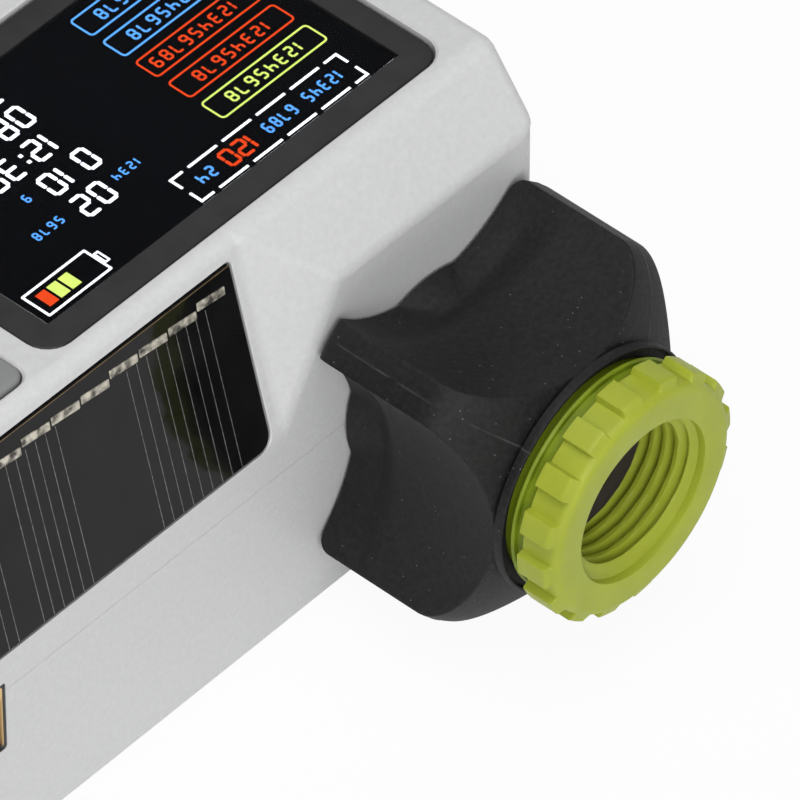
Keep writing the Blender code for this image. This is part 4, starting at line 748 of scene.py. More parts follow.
clear = clouded("window_clear", WINDOW_SHADES, patch=0.03, roughness=(0.015, 0.035), sheen_patch=0.01,
                sockets={"Transmission Weight": 1.0, "IOR": 1.18})
pane_low = (lens_low.x, lens_low.y, lens_high.z - PANE)
window = piece_of("display_window", slab(pane_low, lens_high, LENS_CORNER, LENS_LIP, LENS_STEPS), clear)
crisp(window)
stands_for(window, "housing", "screen_lens", "screen_lens")

# Keys: four soft caps beside the display, each on its own switch.
# They are moulded grey silicone rubber with rounded rims and slightly crowned tops.
KEY_GREY = (0.255, 0.257, 0.260)
KEY_LIP = 0.0006
CROWN = 0.00008
CROWN_STEPS = (0.0004, 0.0006)

key_grey = plastic("key_grey_rubber", KEY_GREY, roughness=0.62, grain=0.00025, depth=0.000012, specular=0.4)
for number, (low, high) in enumerate(key_boxes, 1):
    bm = slab(low + Vector((0, 0, FIT)), high - Vector((0, 0, CROWN)), KEY_CORNER, KEY_LIP)
    bmesh.ops.recalc_face_normals(bm, faces=bm.faces)
    lid = [f for f in bm.faces if f.normal.z > FACING_UP]
    for step in CROWN_STEPS:
        bmesh.ops.inset_region(bm, faces=lid, thickness=step, use_even_offset=True)
        bmesh.ops.translate(bm, vec=(0, 0, CROWN / 2), verts=[v for f in lid for v in f.verts])
    key = piece_of(f"key_cap_{number}_rubber", bm, key_grey)
    stands_for(key, f"key_cap_{number}", "key_grey", f"key_{number}")

# Solar panel: black cells under a clear glossy resin, bedded in the sloping shoulder.
# Fine printed conductors run down it from a chain of soldered tabs near its top edge.
SOLAR_SHADES = ((0.0045, 0.0045, 0.0050), (0.0081, 0.0081, 0.0090))
SOLAR_LIP = 0.00022
RESIN_WAVE, RESIN_DEPTH = 0.004, 0.000006
SILVER_SHADES = ((0.11, 0.11, 0.11), (0.30, 0.30, 0.29))
FINGER_WIDTH = 0.00010
FINGER_RISE = 0.000015
FINGER_TOP = 0.0034
FINGER_FOOT = 0.00023
FINGER_GROUPS = ((0.0051, 9), (0.0303, 6), (0.0428, 9))
FINGER_PITCH = 0.00166
SOLDER_SHADES = ((0.08, 0.074, 0.066), (0.70, 0.66, 0.56))
SOLDER_GRAIN, SOLDER_RANGE, SOLDER_DEPTH = 0.0013, (0.36, 0.60), 0.00008
SOLDER_ROUGHNESS, SOLDER_SHEEN = (0.3, 0.55), 0.0003
TAB_LENGTH = 0.0046
TAB_PITCH = 0.0049
TAB_HEIGHT = 0.0011
TAB_TOP = 0.0022
TAB_STEP = 0.0002
TAB_FIRST = 0.0016
TAB_LEAN = math.radians(-5.5)
TAB_RISE = 0.00012
TAB_CORNER, TAB_LIP, TAB_ROUNDING = 0.0001, 0.00006, 3
COPPER_SHADES = ((0.10, 0.065, 0.03), (0.22, 0.15, 0.07))
EDGE_LINE = 0.00014

resin = clouded("solar_black_resin", SOLAR_SHADES, patch=0.006, roughness=(0.04, 0.09), sheen_patch=0.003,
                sockets={"IOR": 1.3}, detail=4)
tree = resin.node_tree
bump(tree, tree.nodes["Principled BSDF"], noise(tree, own_place(resin), RESIN_WAVE, 1), RESIN_DEPTH)
bm = slab((-solar_width / 2, -SOLAR_LENGTH / 2, -SOLAR_THICKNESS), (solar_width / 2, SOLAR_LENGTH / 2, 0),
          SOLAR_CORNERS, SOLAR_LIP)
bmesh.ops.transform(bm, matrix=slope_frame, verts=bm.verts)
solar_panel = piece_of("solar_panel_resin", bm, resin)
crisp(solar_panel)
stands_for(solar_panel, "housing", "solar_black", "solar_panel")


def on_panel(bm):
    """Moves a shape from the panel's own corner to its place on the slope."""
    corner = Matrix.Translation((-solar_width / 2, -SOLAR_LENGTH / 2, 0))
    bmesh.ops.transform(bm, matrix=slope_frame @ corner, verts=bm.verts)
    return bm


silver = clouded("printed_silver", SILVER_SHADES, patch=0.0006, roughness=(0.35, 0.6), sheen_patch=0.0004,
                 sockets={"Metallic": 0.5}, detail=3)
fingers = []
for start, count in FINGER_GROUPS:
    for number in range(count):
        x = start + number * FINGER_PITCH
        fingers.append(block((x - FINGER_WIDTH / 2, FINGER_TOP, -FINGER_RISE),
                             (x + FINGER_WIDTH / 2, SOLAR_LENGTH - FINGER_FOOT, FINGER_RISE)))
stands_for(piece_of("solar_fingers", on_panel(gather(fingers)), silver), "housing", "solar_black")
solder, tree, shader, place = look("solder_silver")
grains = noise(tree, place, SOLDER_GRAIN, 3)
tree.links.new(ramp(tree, grains, *SOLDER_SHADES, *SOLDER_RANGE), shader.inputs["Base Color"])
tree.links.new(spread(tree, noise(tree, place, SOLDER_SHEEN), *SOLDER_ROUGHNESS), shader.inputs["Roughness"])
shader.inputs["Metallic"].default_value = 0.6
bump(tree, shader, grains, SOLDER_DEPTH)
tabs = []
left = TAB_FIRST
while left + TAB_LENGTH < solar_width - TAB_FIRST:
    top = TAB_TOP + TAB_STEP * (len(tabs) * 2 % 3 - 1)
    bm = slab((left, TAB_TOP, -FINGER_RISE), (left + TAB_LENGTH, TAB_TOP + TAB_HEIGHT, TAB_RISE),
              TAB_CORNER, TAB_LIP, TAB_ROUNDING)
    lean = Matrix.Translation((left, top - TAB_LENGTH * math.tan(TAB_LEAN) / 2, 0))
    lean = lean @ Matrix.Rotation(TAB_LEAN, 4, "Z") @ Matrix.Translation((-left, -TAB_TOP, 0))
    bmesh.ops.transform(bm, matrix=lean, verts=bm.verts)
    tabs.append(bm)
    left = TAB_FIRST + len(tabs) * TAB_PITCH
stands_for(piece_of("solar_tabs", on_panel(gather(tabs)), solder), "housing", "solar_black")
copper = clouded("edge_copper", COPPER_SHADES, patch=0.002, roughness=(0.35, 0.5), sheen_patch=0.001,
                 sockets={"Metallic": 0.4})
bm = on_panel(block((EDGE_LINE, EDGE_LINE, -FINGER_RISE),
                    (solar_width - EDGE_LINE, 2 * EDGE_LINE, FINGER_RISE)))
stands_for(piece_of("solar_edge_line", bm, copper), "housing", "solar_black")

# Charging socket: a folded brass shell with a black tongue, behind a tan plate in a dark frame.
# The plate is a thin moulding and the frame a thin black piece, both let into the wall across the parting
# line; the frame's black is painted shade, standing for the recess's shaded inner wall.
FRAME_WIDTH = 0.00045
FRAME_SINK = 0.00005
PLATE_SINK = 0.00012
PLATE_TAN = (0.80, 0.53, 0.24)
BRASS_SHADES = ((0.527, 0.357, 0.153), (0.682, 0.462, 0.198))
SOCKET_WALL = 0.0007
SOCKET_CORNER = 0.001
SOCKET_FLARE = 0.00015
SWITCH_BLACK = (0.012, 0.012, 0.012)
TONGUE_TOP = 0.0023
TONGUE_CORNER = 0.0004

brass = clouded("brass", BRASS_SHADES, patch=0.002, roughness=(0.25, 0.42), sheen_patch=0.0008,
                sockets={"Metallic": 1.0}, detail=3)
socket_shell = piece_of("socket_shell", facing_front(
    slab((socket_low.x, -socket_high.z, socket_low.y), (socket_high.x, -socket_low.z, socket_high.y),
         SOCKET_CORNER)), brass)
carve(socket_shell, facing_front(
    opening((socket_low.x + SOCKET_WALL, -socket_high.z + SOCKET_WALL, socket_low.y + 2 * SOCKET_WALL),
            (socket_high.x - SOCKET_WALL, -socket_low.z - SOCKET_WALL, socket_high.y),
            SOCKET_CORNER - SOCKET_WALL / 2, SOCKET_FLARE)))
switch_black = plastic("switch_black_plastic", SWITCH_BLACK, roughness=0.45, grain=0.0003, depth=0.00001,
                       mottle=0.1)
third = (socket_high.x - socket_low.x) / 3
tongue = piece_of("socket_tongue", facing_front(
    slab((socket_low.x + third, -socket_low.z - TONGUE_TOP, socket_low.y + SOCKET_WALL),
         (socket_high.x - third, -socket_low.z - SOCKET_WALL, socket_low.y + 3 * SOCKET_WALL),
         TONGUE_CORNER)), switch_black)
# Painted shade: the black frame round the plate stands for the shaded inner wall of the recess.
plate_back = FRONT - PLATE_DEPTH + FRAME_SINK
socket_shade_frame = piece_of("socket_shade_frame", plate_form(FRAME_SINK, plate_back, FRONT - FRAME_SINK), switch_black)
carve(socket_shade_frame, plate_form(FRAME_WIDTH, FRONT - WALL, FRONT + WALL))
plate_tan = plastic("plate_tan_plastic", PLATE_TAN, roughness=0.35, grain=0.0005, depth=0.00001, mottle=0.05,
                    patch=0.002)
socket_plate = piece_of("socket_plate", plate_form(FRAME_WIDTH, plate_back, FRONT - PLATE_SINK), plate_tan)
carve(socket_plate, block(socket_low - socket_fit, socket_high + socket_fit + Vector((0, WALL, 0))))
stands_for(socket_shade_frame, "housing", "switch_black")
stands_for(socket_plate, "housing", "brass")
crisp(socket_shell)
stands_for(socket_shell, "housing", "brass", "charging_socket")
stands_for(tongue, "housing", "switch_black")

# Swivel nut: the winged coupling nut that the user tightens by hand on the tap side.
# It is moulded black plastic: four wings with thumb scoops between them, and a lip round its mouth.
NUT_BASE = 0.0285
NUT_LENGTH = 26.8
NUT_RADIUS = 25.2
NUT_STRAIGHT = 16.0
NUT_CROWN = 0.125
NUT_FOOT = 2.0
WING_TIP = 5.2
SCOOP_LEVELS = ((0.0, 12.5), (4.0, 12.5), (9.5, 15.0), (NUT_LENGTH, 15.8))
HUB_RADIUS, HUB_TAPER, HUB_BLEND = 14.0, 0.34, 0.3
NUT_END = 26.4
LIP_RADIUS, LIP_START = 16.5, 25.2
LIP_NECK = 15.6
LIP_BORE, LIP_FLOOR = 16.05, 25.5
MOUTH_RADIUS, MOUTH_FLOOR = 14.6, 24.2
THREAD_RADIUS, SEAT_DEPTH = 13.4, 8.7
NECK_RADIUS = 8.9
MOULD_LINE, MOULD_RISE = 0.20, 0.05
FLASH_WEAR_AND_HIGHLIGHT = (0.048, 0.048, 0.046)
FLASH_WIDTH = 0.00020
FLASH_PATCH, FLASH_BREAKS = 0.004, (0.42, 0.6)
EDGE_ROUND = 0.15
CORNER_COLUMN, HALF_COLUMNS = 45, 60
ALIGN_TO = 24.0
NUT_STEPS, NUT_RINGS = 8 * HALF_COLUMNS, 110
LIP_RISES = (0.05, 0.5, 1.0)
LIP_EDGE, LIP_CUT, BORE_EDGE = 0.2, 0.06, 0.15
SKIN_RADIUS = 30.0
QUARTER = math.pi / 2
MERGE = 1e-4
NUT_CREASE = math.radians(50)
NUT_BLACK = (0.0095, 0.0095, 0.0098)
NUT_GRIT = (0.13, 0.13, 0.125)


def off_water_axis(material):
    """How far a spot of a piece lies across, along and above the water line."""
    tree = material.node_tree
    axes = tree.nodes.new("ShaderNodeSeparateXYZ")
    tree.links.new(own_place(material), axes.inputs[0])
    return (calc(tree, "SUBTRACT", axes.outputs["X"], WATER_X), axes.outputs["Y"],
            calc(tree, "SUBTRACT", axes.outputs["Z"], SEAM))


nut_black = plastic("nut_black_plastic", NUT_BLACK, roughness=0.62, grain=0.0004, depth=0.00005, mottle=0.45,
                    patch=0.0007, specular=0.32)
specks(nut_black, NUT_GRIT, spacing=0.0010, size=0.00011, share=0.4)
# A lighter line down the middle of each wing tip: partly worn mould flash, partly a painted highlight where
# the mould line catches light.
tree = nut_black.node_tree
across, _, upward = off_water_axis(nut_black)
off_tip = calc(tree, "SUBTRACT", calc(tree, "ABSOLUTE", across), calc(tree, "ABSOLUTE", upward))
off_tip = calc(tree, "ABSOLUTE", off_tip)
line = spread(tree, off_tip, 1, 0, FLASH_WIDTH / 2, FLASH_WIDTH)
broken = spread(tree, noise(tree, own_place(nut_black), FLASH_PATCH), 0, 1, *FLASH_BREAKS)
over(nut_black, FLASH_WEAR_AND_HIGHLIGHT, calc(tree, "MULTIPLY", line, broken))


def held(value):
    """A number held between 0 and 1."""
    return min(max(value, 0), 1)


def blend_low(first, second, width):
    """The lower of two numbers, with the corner between them rounded."""
    share = held(0.5 + 0.5 * (second - first) / width)
    return second + (first - second) * share - width * share * (1 - share)


def scoop_floor(height):
    """Distance from the nut's axis to the bottom of a thumb scoop."""
    (_, base), (start, _), (end, middle), (top, mouth) = SCOOP_LEVELS
    share = held((height - start) / (end - start))
    rise = held((height - end) / (top - end))
    return base + (middle - base) * share * share * (3 - 2 * share) + (mouth - middle) * rise


def scoop_arc(height):
    """Distance from the nut's axis to the centre of a scoop's arc, and the arc's radius."""
    half = QUARTER / 2 - WING_TIP / 2 / NUT_RADIUS
    floor = scoop_floor(height)
    rise = NUT_RADIUS * math.cos(half) - floor
    radius = (rise ** 2 + (NUT_RADIUS * math.sin(half)) ** 2) / (2 * rise)
    return floor + radius, radius


def wing_crown(height):
    """Distance from the nut's axis to the tips of its wings."""
    crown = max(NUT_RADIUS - NUT_CROWN * max(height - NUT_STRAIGHT, 0) ** 2, LIP_NECK)
    if height < NUT_FOOT:
        crown += math.sqrt(NUT_FOOT ** 2 - (NUT_FOOT - height) ** 2) - NUT_FOOT
    return crown


def wing_corner(height):
    """Angle from the middle of a scoop to the corner of the wing beside it."""
    centre, radius = scoop_arc(height)
    crown = wing_crown(height)
    return math.acos(min((centre ** 2 + crown ** 2 - radius ** 2) / (2 * centre * crown), 1))


def lined_up(turn, height):
    """Turns a mesh column so that one column runs along the corner of each wing, up to the lip."""
    even = QUARTER / 2 * CORNER_COLUMN / HALF_COLUMNS
    corner = wing_corner(min(height, ALIGN_TO))
    corner += (even - corner) * held((height - ALIGN_TO) / (LIP_START - ALIGN_TO))
    rounding = EDGE_ROUND / NUT_RADIUS
    middle = round(turn / QUARTER) * QUARTER
    columns = (0, CORNER_COLUMN - 1, CORNER_COLUMN, CORNER_COLUMN + 1, HALF_COLUMNS)
    places = (0, corner - rounding, corner, corner + rounding, QUARTER / 2)
    column = abs(turn - middle) / (QUARTER / 2) * HALF_COLUMNS
    return middle + math.copysign(np.interp(column, columns, places), turn - middle)


def nut_skin(turn, height):
    """Distance from the nut's axis to its outside."""
    offset = turn - round(turn / QUARTER) * QUARTER
    centre, radius = scoop_arc(height)
    inside = radius ** 2 - (centre * math.sin(offset)) ** 2
    skin = wing_crown(height)
    if inside > 0:
        skin = blend_low(skin, centre * math.cos(offset) - math.sqrt(inside), 2 * EDGE_ROUND)
    tip = (QUARTER / 2 - abs(offset)) * NUT_RADIUS
    skin += MOULD_RISE * max(1 - tip / MOULD_LINE, 0)
    skin = -blend_low(-skin, HUB_TAPER * height - HUB_RADIUS, HUB_BLEND)
    if height > LIP_START:
        skin = max(skin, LIP_RADIUS)
    return skin


def turned(profile, steps):
    """A ring turned from a closed outline of (radius, height), round the Z axis, in millimetres."""
    bm = bmesh.new()
    verts = [bm.verts.new((radius, 0, height)) for radius, height in profile]
    edges = [bm.edges.new(pair) for pair in zip(verts, verts[1:] + verts[:1])]
    bmesh.ops.spin(bm, geom=verts + edges, cent=(0, 0, 0), axis=(0, 0, 1), dvec=(0, 0, 0), angle=2 * math.pi,
                   steps=steps, use_merge=True)
    bmesh.ops.remove_doubles(bm, verts=bm.verts, dist=MERGE)
    return bm


def on_water_axis(bm, base):
    """Puts a turned shape in millimetres on the water line, its height running to the inlet."""
    home = Matrix.Translation((WATER_X, base, SEAM)) @ Matrix.Rotation(math.radians(-90), 4, "X")
    bmesh.ops.transform(bm, matrix=home @ Matrix.Scale(MM, 4), verts=bm.verts)
    bmesh.ops.recalc_face_normals(bm, faces=bm.faces)


def polar(vert):
    """A vertex's distance from the axis of a turned shape, and its angle round it."""
    return math.hypot(vert.co.x, vert.co.y), math.atan2(vert.co.y, vert.co.x)


def set_polar(vert, reach, turn):
    """Puts a vertex at a distance from the axis and an angle round it."""
    vert.co.x, vert.co.y = reach * math.cos(turn), reach * math.sin(turn)


outside = [(SKIN_RADIUS, LIP_START * step / NUT_RINGS) for step in range(NUT_RINGS + 1)]
outside += [(SKIN_RADIUS, LIP_START + rise) for rise in LIP_RISES]
nut_mouth = [(LIP_RADIUS - LIP_CUT, NUT_END - LIP_CUT), (LIP_RADIUS - LIP_EDGE, NUT_END),
             (LIP_BORE + BORE_EDGE, NUT_END), (LIP_BORE, NUT_END - BORE_EDGE), (LIP_BORE, LIP_FLOOR),
             (MOUTH_RADIUS, LIP_FLOOR), (MOUTH_RADIUS, MOUTH_FLOOR), (THREAD_RADIUS, MOUTH_FLOOR),
             (THREAD_RADIUS, SEAT_DEPTH), (NECK_RADIUS, SEAT_DEPTH), (NECK_RADIUS, 0)]
bm = turned(outside + nut_mouth, NUT_STEPS)
for vert in bm.verts:
    reach, turn = polar(vert)
    if reach > SKIN_RADIUS - 1:
        turn = lined_up(turn, vert.co.z)
        reach = nut_skin(turn, vert.co.z)
    set_polar(vert, reach, turn)
on_water_axis(bm, NUT_BASE)
nut = piece_of("winged_nut", bm, nut_black)
smooth(nut, NUT_CREASE)
stands_for(nut, "inlet_nut", "nut_black", "swivel_nut")

# Thread adapter: a plug that screws into the nut and takes a smaller tap thread.
# It is moulded lime green plastic with a ribbed grip ring and a coarse female pipe thread;
# behind the ring its collar is coloured a darker green, painted shade of the groove there.
ADAPTER_GREEN = (0.375, 0.430, 0.034)
COLLAR_SHADE_GREEN = (0.205, 0.280, 0.008)
COLLAR_SHADE_FADE = 0.0003
BORE_WALL = 0.0117
GLOW_SHARE, GLOW_REACH, GLOW_SCALE = 0.12, (1.0, 1.0, 0.4), 0.0008
FACE_HEIGHT = 34.0
RING_BACK = 28.8
RING_VALLEY = 15.5
RING_EDGE, RING_ROUND, RING_STEPS = 0.1, 1.2, 8
RING_LEVELS = (30.0, 32.4)
RIB_RISE = 1.0
RIB_PITCH, RIB_PHASE = 22.5, 18.0
RIB_TOP, RIB_FLANK = 5.25, 0.75
RIB_END, RIB_SLOPE = 33.5, 0.5
RIM_BACK = 26.5
RIM_OUT, RIM_NECK, RIM_WIDTH = 15.25, 14.5, 0.7
RIM_BEAD = ((0.25, 0.05), (0.05, 0.2), (0.0, 0.35), (0.05, 0.5), (0.2, 0.65))
COLLAR_OUT, COLLAR_BACK, COLLAR_EDGE = 14.3, 24.5, 0.2
MALE_RADIUS, MALE_END, MALE_LEAD = 13.1, 13.5, 1.2
BORE_CREST, BORE_ROOT = 9.35, 10.45
BORE_MOUTH, MOUTH_STEP = 10.9, 1.4
MOUTH_EDGE, MOUTH_CUT = 0.3, 0.08
WASHER_SEAT, SEAT_HOLE = 23.2, 8.0
PITCH = 1.814
THREAD_FLAT, THREAD_FADE = 0.22, 0.6
THREAD_STEP, THREAD_FOOT = 0.13, 0.2
THREAD_CREASE = math.radians(35)
ADAPTER_STEPS = 480
NEAR, SAME = 0.1, 1e-3

adapter_green = plastic("adapter_green_plastic", ADAPTER_GREEN, roughness=0.50, grain=0.0004, depth=0.000018,
                        mottle=0.05, patch=0.004, specular=0.4)
tree = adapter_green.node_tree
shader = tree.nodes["Principled BSDF"]
shader.inputs["Subsurface Weight"].default_value = GLOW_SHARE
shader.inputs["Subsurface Radius"].default_value = GLOW_REACH
shader.inputs["Subsurface Scale"].default_value = GLOW_SCALE
# Painted shade: outside the bore and behind the grip ring the green turns darker, standing for the groove's
# shade.
ring_start = NUT_BASE + RING_BACK * MM
across, along, upward = off_water_axis(adapter_green)
reach = calc(tree, "ADD", calc(tree, "POWER", across, 2.0), calc(tree, "POWER", upward, 2.0))
reach = calc(tree, "SQRT", reach)
outside = spread(tree, reach, 0, 1, BORE_WALL - COLLAR_SHADE_FADE, BORE_WALL)
behind = spread(tree, along, 1, 0, ring_start - COLLAR_SHADE_FADE, ring_start)
over(adapter_green, COLLAR_SHADE_GREEN, calc(tree, "MULTIPLY", outside, behind))


def thread_share(turn, height):
    """How far up its flank a right-handed thread stands at a place: 0 in its root and 1 on its crest."""
    phase = (height / PITCH - turn / (2 * math.pi)) % 1
    return held((0.5 - abs(phase - 0.5)) / (0.5 - THREAD_FLAT) - THREAD_FLAT)


ring = [(COLLAR_OUT, RIM_BACK)] + [(RIM_OUT - inset, RIM_BACK + rise) for inset, rise in RIM_BEAD]
ring += [(RIM_NECK, RIM_BACK + RIM_WIDTH), (RIM_NECK, RING_BACK), (RING_VALLEY - RING_EDGE, RING_BACK),
         (RING_VALLEY, RING_BACK + RING_EDGE)] + [(RING_VALLEY, level) for level in RING_LEVELS]
for step in range(RING_STEPS + 1):
    lean = QUARTER * step / RING_STEPS
    ring.append((RING_VALLEY - RING_ROUND * (1 - math.cos(lean)),
                 FACE_HEIGHT - RING_ROUND * (1 - math.sin(lean))))
thread_top = FACE_HEIGHT - MOUTH_STEP
mouth = [(BORE_MOUTH + MOUTH_EDGE, FACE_HEIGHT), (BORE_MOUTH + MOUTH_CUT, FACE_HEIGHT - MOUTH_CUT),
         (BORE_MOUTH, FACE_HEIGHT - MOUTH_EDGE), (BORE_MOUTH, thread_top + MOUTH_EDGE)]
rows = int((thread_top - WASHER_SEAT - THREAD_FOOT) / THREAD_STEP)
bore = [(BORE_ROOT, thread_top - row * THREAD_STEP) for row in range(rows + 1)]
foot = [(BORE_ROOT, WASHER_SEAT), (SEAT_HOLE, WASHER_SEAT), (SEAT_HOLE, MALE_END),
        (MALE_RADIUS - MALE_LEAD, MALE_END), (MALE_RADIUS, MALE_END + MALE_LEAD), (MALE_RADIUS, COLLAR_BACK),
        (COLLAR_OUT - COLLAR_EDGE, COLLAR_BACK), (COLLAR_OUT, COLLAR_BACK + COLLAR_EDGE)]
bm = turned(ring + mouth + bore + foot, ADAPTER_STEPS)
for vert in bm.verts:
    reach, turn = polar(vert)
    height = vert.co.z
    if reach > RIM_NECK + NEAR and RING_BACK - NEAR < height < RIB_END:
        off_rib = abs((-math.degrees(turn) - RIB_PHASE + RIB_PITCH / 2) % RIB_PITCH - RIB_PITCH / 2)
        rib = held((RIB_TOP + RIB_FLANK - off_rib) / RIB_FLANK)
        reach += RIB_RISE * rib * held((RIB_END - height) / RIB_SLOPE)
    elif abs(reach - BORE_ROOT) < SAME and WASHER_SEAT + NEAR < height:
        fade = held((thread_top - height) / THREAD_FADE)
        reach -= (BORE_ROOT - BORE_CREST) * thread_share(turn, height) * fade
    set_polar(vert, reach, turn)
on_water_axis(bm, NUT_BASE)
adapter = piece_of("green_adapter", bm, adapter_green)
smooth(adapter, THREAD_CREASE)
stands_for(adapter, "adapter", "adapter_green", "thread_adapter")

# Washers, filter and inlet spigot: the seals and the strainer deep in the adapter's bore.
# The tap washer is brown rubber and the other seals black, each pressed into its seat;
# the strainer is dark moulded mesh, and the spigot and the valve's body are white plastic.
RUBBER_BLACK = (0.014, 0.014, 0.014)
WASHER_BROWN = (0.045, 0.038, 0.033)
VALVE_WHITE = (0.72, 0.72, 0.70)
MESH_COLOURS = ((0.020, 0.014, 0.012), (0.055, 0.036, 0.030))
MESH_PITCH, MESH_DEPTH = 0.0008, 0.0001
MESH_ROUGHNESS, MESH_SHEEN = (0.5, 0.7), 0.002

rubber = plastic("black_rubber", RUBBER_BLACK, roughness=0.75, grain=0.0005, depth=0.00003, mottle=0.15,
                 specular=0.3)
valve_white = plastic("valve_white_plastic", VALVE_WHITE, roughness=0.42, grain=0.0005, depth=0.00001,
                      mottle=0.02)
washer_brown = plastic("brown_rubber", WASHER_BROWN, roughness=0.8, grain=0.0005, depth=0.00003, mottle=0.15,
                       specular=0.25)
dress(washer_brown, "tap_washer")
dress(rubber, "adapter_washer", "stem_seal", "outlet_seal", "housing_seal_left", "housing_seal_right",
      *[f"switch_plunger_{number}" for number in range(1, 5)])
dress(valve_white, "inlet_spigot", "valve_body", "ball_seat_inlet", "ball_seat_outlet")
strainer, tree, shader, place = look("strainer_mesh")
weave = tree.nodes.new("ShaderNodeTexChecker")
weave.inputs["Scale"].default_value = 1 / MESH_PITCH
for socket, colour in zip(("Color1", "Color2"), MESH_COLOURS):
    weave.inputs[socket].default_value = (*colour, 1)
tree.links.new(place, weave.inputs["Vector"])
tree.links.new(weave.outputs["Color"], shader.inputs["Base Color"])
tree.links.new(spread(tree, noise(tree, place, MESH_SHEEN), *MESH_ROUGHNESS), shader.inputs["Roughness"])
bump(tree, shader, weave.outputs["Fac"], MESH_DEPTH)
dress(strainer, "inlet_filter")

# Hose outlet: a threaded spigot through the far wall, where the hose connector screws on.
# It is moulded black plastic, with a stop flange against the housing and a coarse male thread.
OUTLET_BASE = -0.062
OUTLET_END = 17.7
FLANGE_OUT, FLANGE_LOW = 14.6, 15.7
FLANGE_LEAD, FLANGE_EDGE = 0.4, 0.2
OUTLET_CREST, OUTLET_ROOT = 13.1, 12.0
OUTLET_BORE = 8.5
BORE_LEAD, BORE_LEAD_DEPTH = 0.4, 0.5
END_WIDTH, END_EDGE, END_RISE = 1.1, 0.3, 0.4
OUTLET_NECK = 10.0
NECK_END = 24.0
OUTLET_STEPS = 240
MALE_START, MALE_UNCUT = 1.2, 3.0
MALE_FADE_IN, MALE_FADE_OUT = 1.6, 1.2
MALE_STOP, FLANGE_CLEAR = 1.4, 0.5

rows = int((FLANGE_LOW - MALE_UNCUT) / THREAD_STEP)
male = [(OUTLET_ROOT, MALE_START + row * THREAD_STEP) for row in range(rows + 1)]
end = [(OUTLET_BORE, NECK_END), (OUTLET_BORE, BORE_LEAD_DEPTH), (OUTLET_BORE + BORE_LEAD, 0),
       (OUTLET_ROOT - END_WIDTH, 0), (OUTLET_ROOT - END_EDGE, END_RISE)]
flange = [(OUTLET_ROOT, FLANGE_LOW), (FLANGE_OUT - FLANGE_LEAD, FLANGE_LOW),
          (FLANGE_OUT, FLANGE_LOW + FLANGE_LEAD), (FLANGE_OUT, OUTLET_END - FLANGE_EDGE),
          (FLANGE_OUT - FLANGE_EDGE, OUTLET_END), (OUTLET_NECK, OUTLET_END), (OUTLET_NECK, NECK_END)]
bm = turned(end + male + flange, OUTLET_STEPS)
for vert in bm.verts:
    reach, turn = polar(vert)
    height = vert.co.z
    if abs(reach - OUTLET_ROOT) < SAME and height < FLANGE_LOW - FLANGE_CLEAR:
        fade = held((height - MALE_START) / MALE_FADE_IN)
        fade *= held((FLANGE_LOW - MALE_STOP - height) / MALE_FADE_OUT)
        reach += (OUTLET_CREST - OUTLET_ROOT) * thread_share(turn, height) * fade
        set_polar(vert, reach, turn)
on_water_axis(bm, OUTLET_BASE)
outlet = piece_of("hose_outlet", bm, nut_black)
smooth(outlet, THREAD_CREASE)
stands_for(outlet, "housing", "nut_black", "outlet_spigot")

# Case screws: four pan head screws deep in the wells of the back.
# They are zinc plated steel with a cross recess.
STEEL_SHADES = ((0.448, 0.448, 0.440), (0.616, 0.616, 0.605))
HEAD_HEIGHT, HEAD_ROUND, HEAD_SIDES = 0.0022, 0.0008, 32
SHANK_START, SHANK_RADIUS, SHANK_SIDES = 0.002, 0.0014, 24
RECESS_WIDTH = 0.0007
RECESS_DEPTH = 0.0011
RECESS_SHARE = 0.62

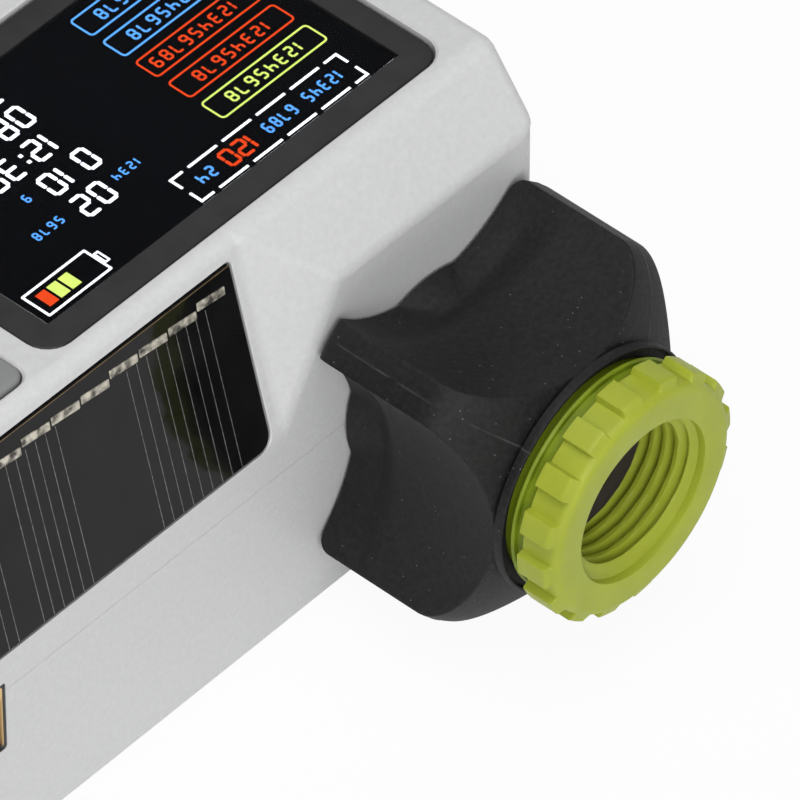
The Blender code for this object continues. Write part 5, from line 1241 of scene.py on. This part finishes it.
steel = clouded("plated_steel", STEEL_SHADES, patch=0.0015, roughness=(0.24, 0.42), sheen_patch=0.0006,
                sockets={"Metallic": 1.0}, detail=4)
for number in range(1, 5):
    low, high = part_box(f"housing_screw_{number}")
    middle = (low + high) / 2
    head = (high.x - low.x) / 2
    bm = rod((middle.x, middle.y, low.z), (0, 0, 1), head, HEAD_HEIGHT, HEAD_SIDES)
    soften(bm, [e for e in bm.edges if max(v.co.z for v in e.verts) < low.z + TINY], HEAD_ROUND)
    screw = piece_of(f"case_screw_{number}", bm, steel)
    carve(screw, rod((middle.x, middle.y, low.z + SHANK_START), (0, 0, 1), SHANK_RADIUS,
                     high.z - low.z - SHANK_START, SHANK_SIDES), "UNION")
    arm = head * RECESS_SHARE
    for reach in ((RECESS_WIDTH / 2, arm), (arm, RECESS_WIDTH / 2)):
        spot = Vector((middle.x, middle.y, low.z))
        carve(screw, block(spot - Vector((*reach, RECESS_DEPTH)), spot + Vector((*reach, RECESS_DEPTH))))
    crisp(screw)
    stands_for(screw, "housing", "steel", f"housing_screw_{number}")

# Valve, drive, battery and board: the inner pieces, carried over with their finishes.
# They are steel, brass, acetal gears, a sleeved cell and a lacquered board.
GEAR_CREAM = (0.62, 0.55, 0.40)
CELL_BLUE = (0.03, 0.12, 0.40)
LEAD_RED = (0.45, 0.02, 0.015)
BOARD_GREEN = (0.015, 0.14, 0.05)

gear_cream = plastic("gear_cream_plastic", GEAR_CREAM, roughness=0.40, grain=0.0006, depth=0.00001)
cell_blue = plastic("cell_blue_sleeve", CELL_BLUE, roughness=0.30, grain=0.002, depth=0.00001, mottle=0.08)
lead_red = plastic("lead_red_sleeve", LEAD_RED, roughness=0.40, grain=0.0008, depth=0.00001, mottle=0.08)
board_green = plastic("board_green_lacquer", BOARD_GREEN, roughness=0.30, grain=0.0012, depth=0.00002,
                      mottle=0.2, patch=0.003)
dress(steel, "valve_ball", "valve_stem", "gear_axle", "gear_plate", "drive_motor", "battery_contact_minus",
      "battery_contact_plus", *[f"board_screw_{number}" for number in range(1, 5)],
      *[f"plate_screw_{number}" for number in range(1, 4)])
dress(brass, "motor_pinion")
dress(gear_cream, "compound_gear", "output_gear")
dress(cell_blue, "battery_cell")
dress(lead_red, "solar_lead", "battery_lead", "motor_lead")
dress(board_green, "main_board")
dress(switch_black, "battery_holder", *[f"key_switch_{number}" for number in range(1, 5)])
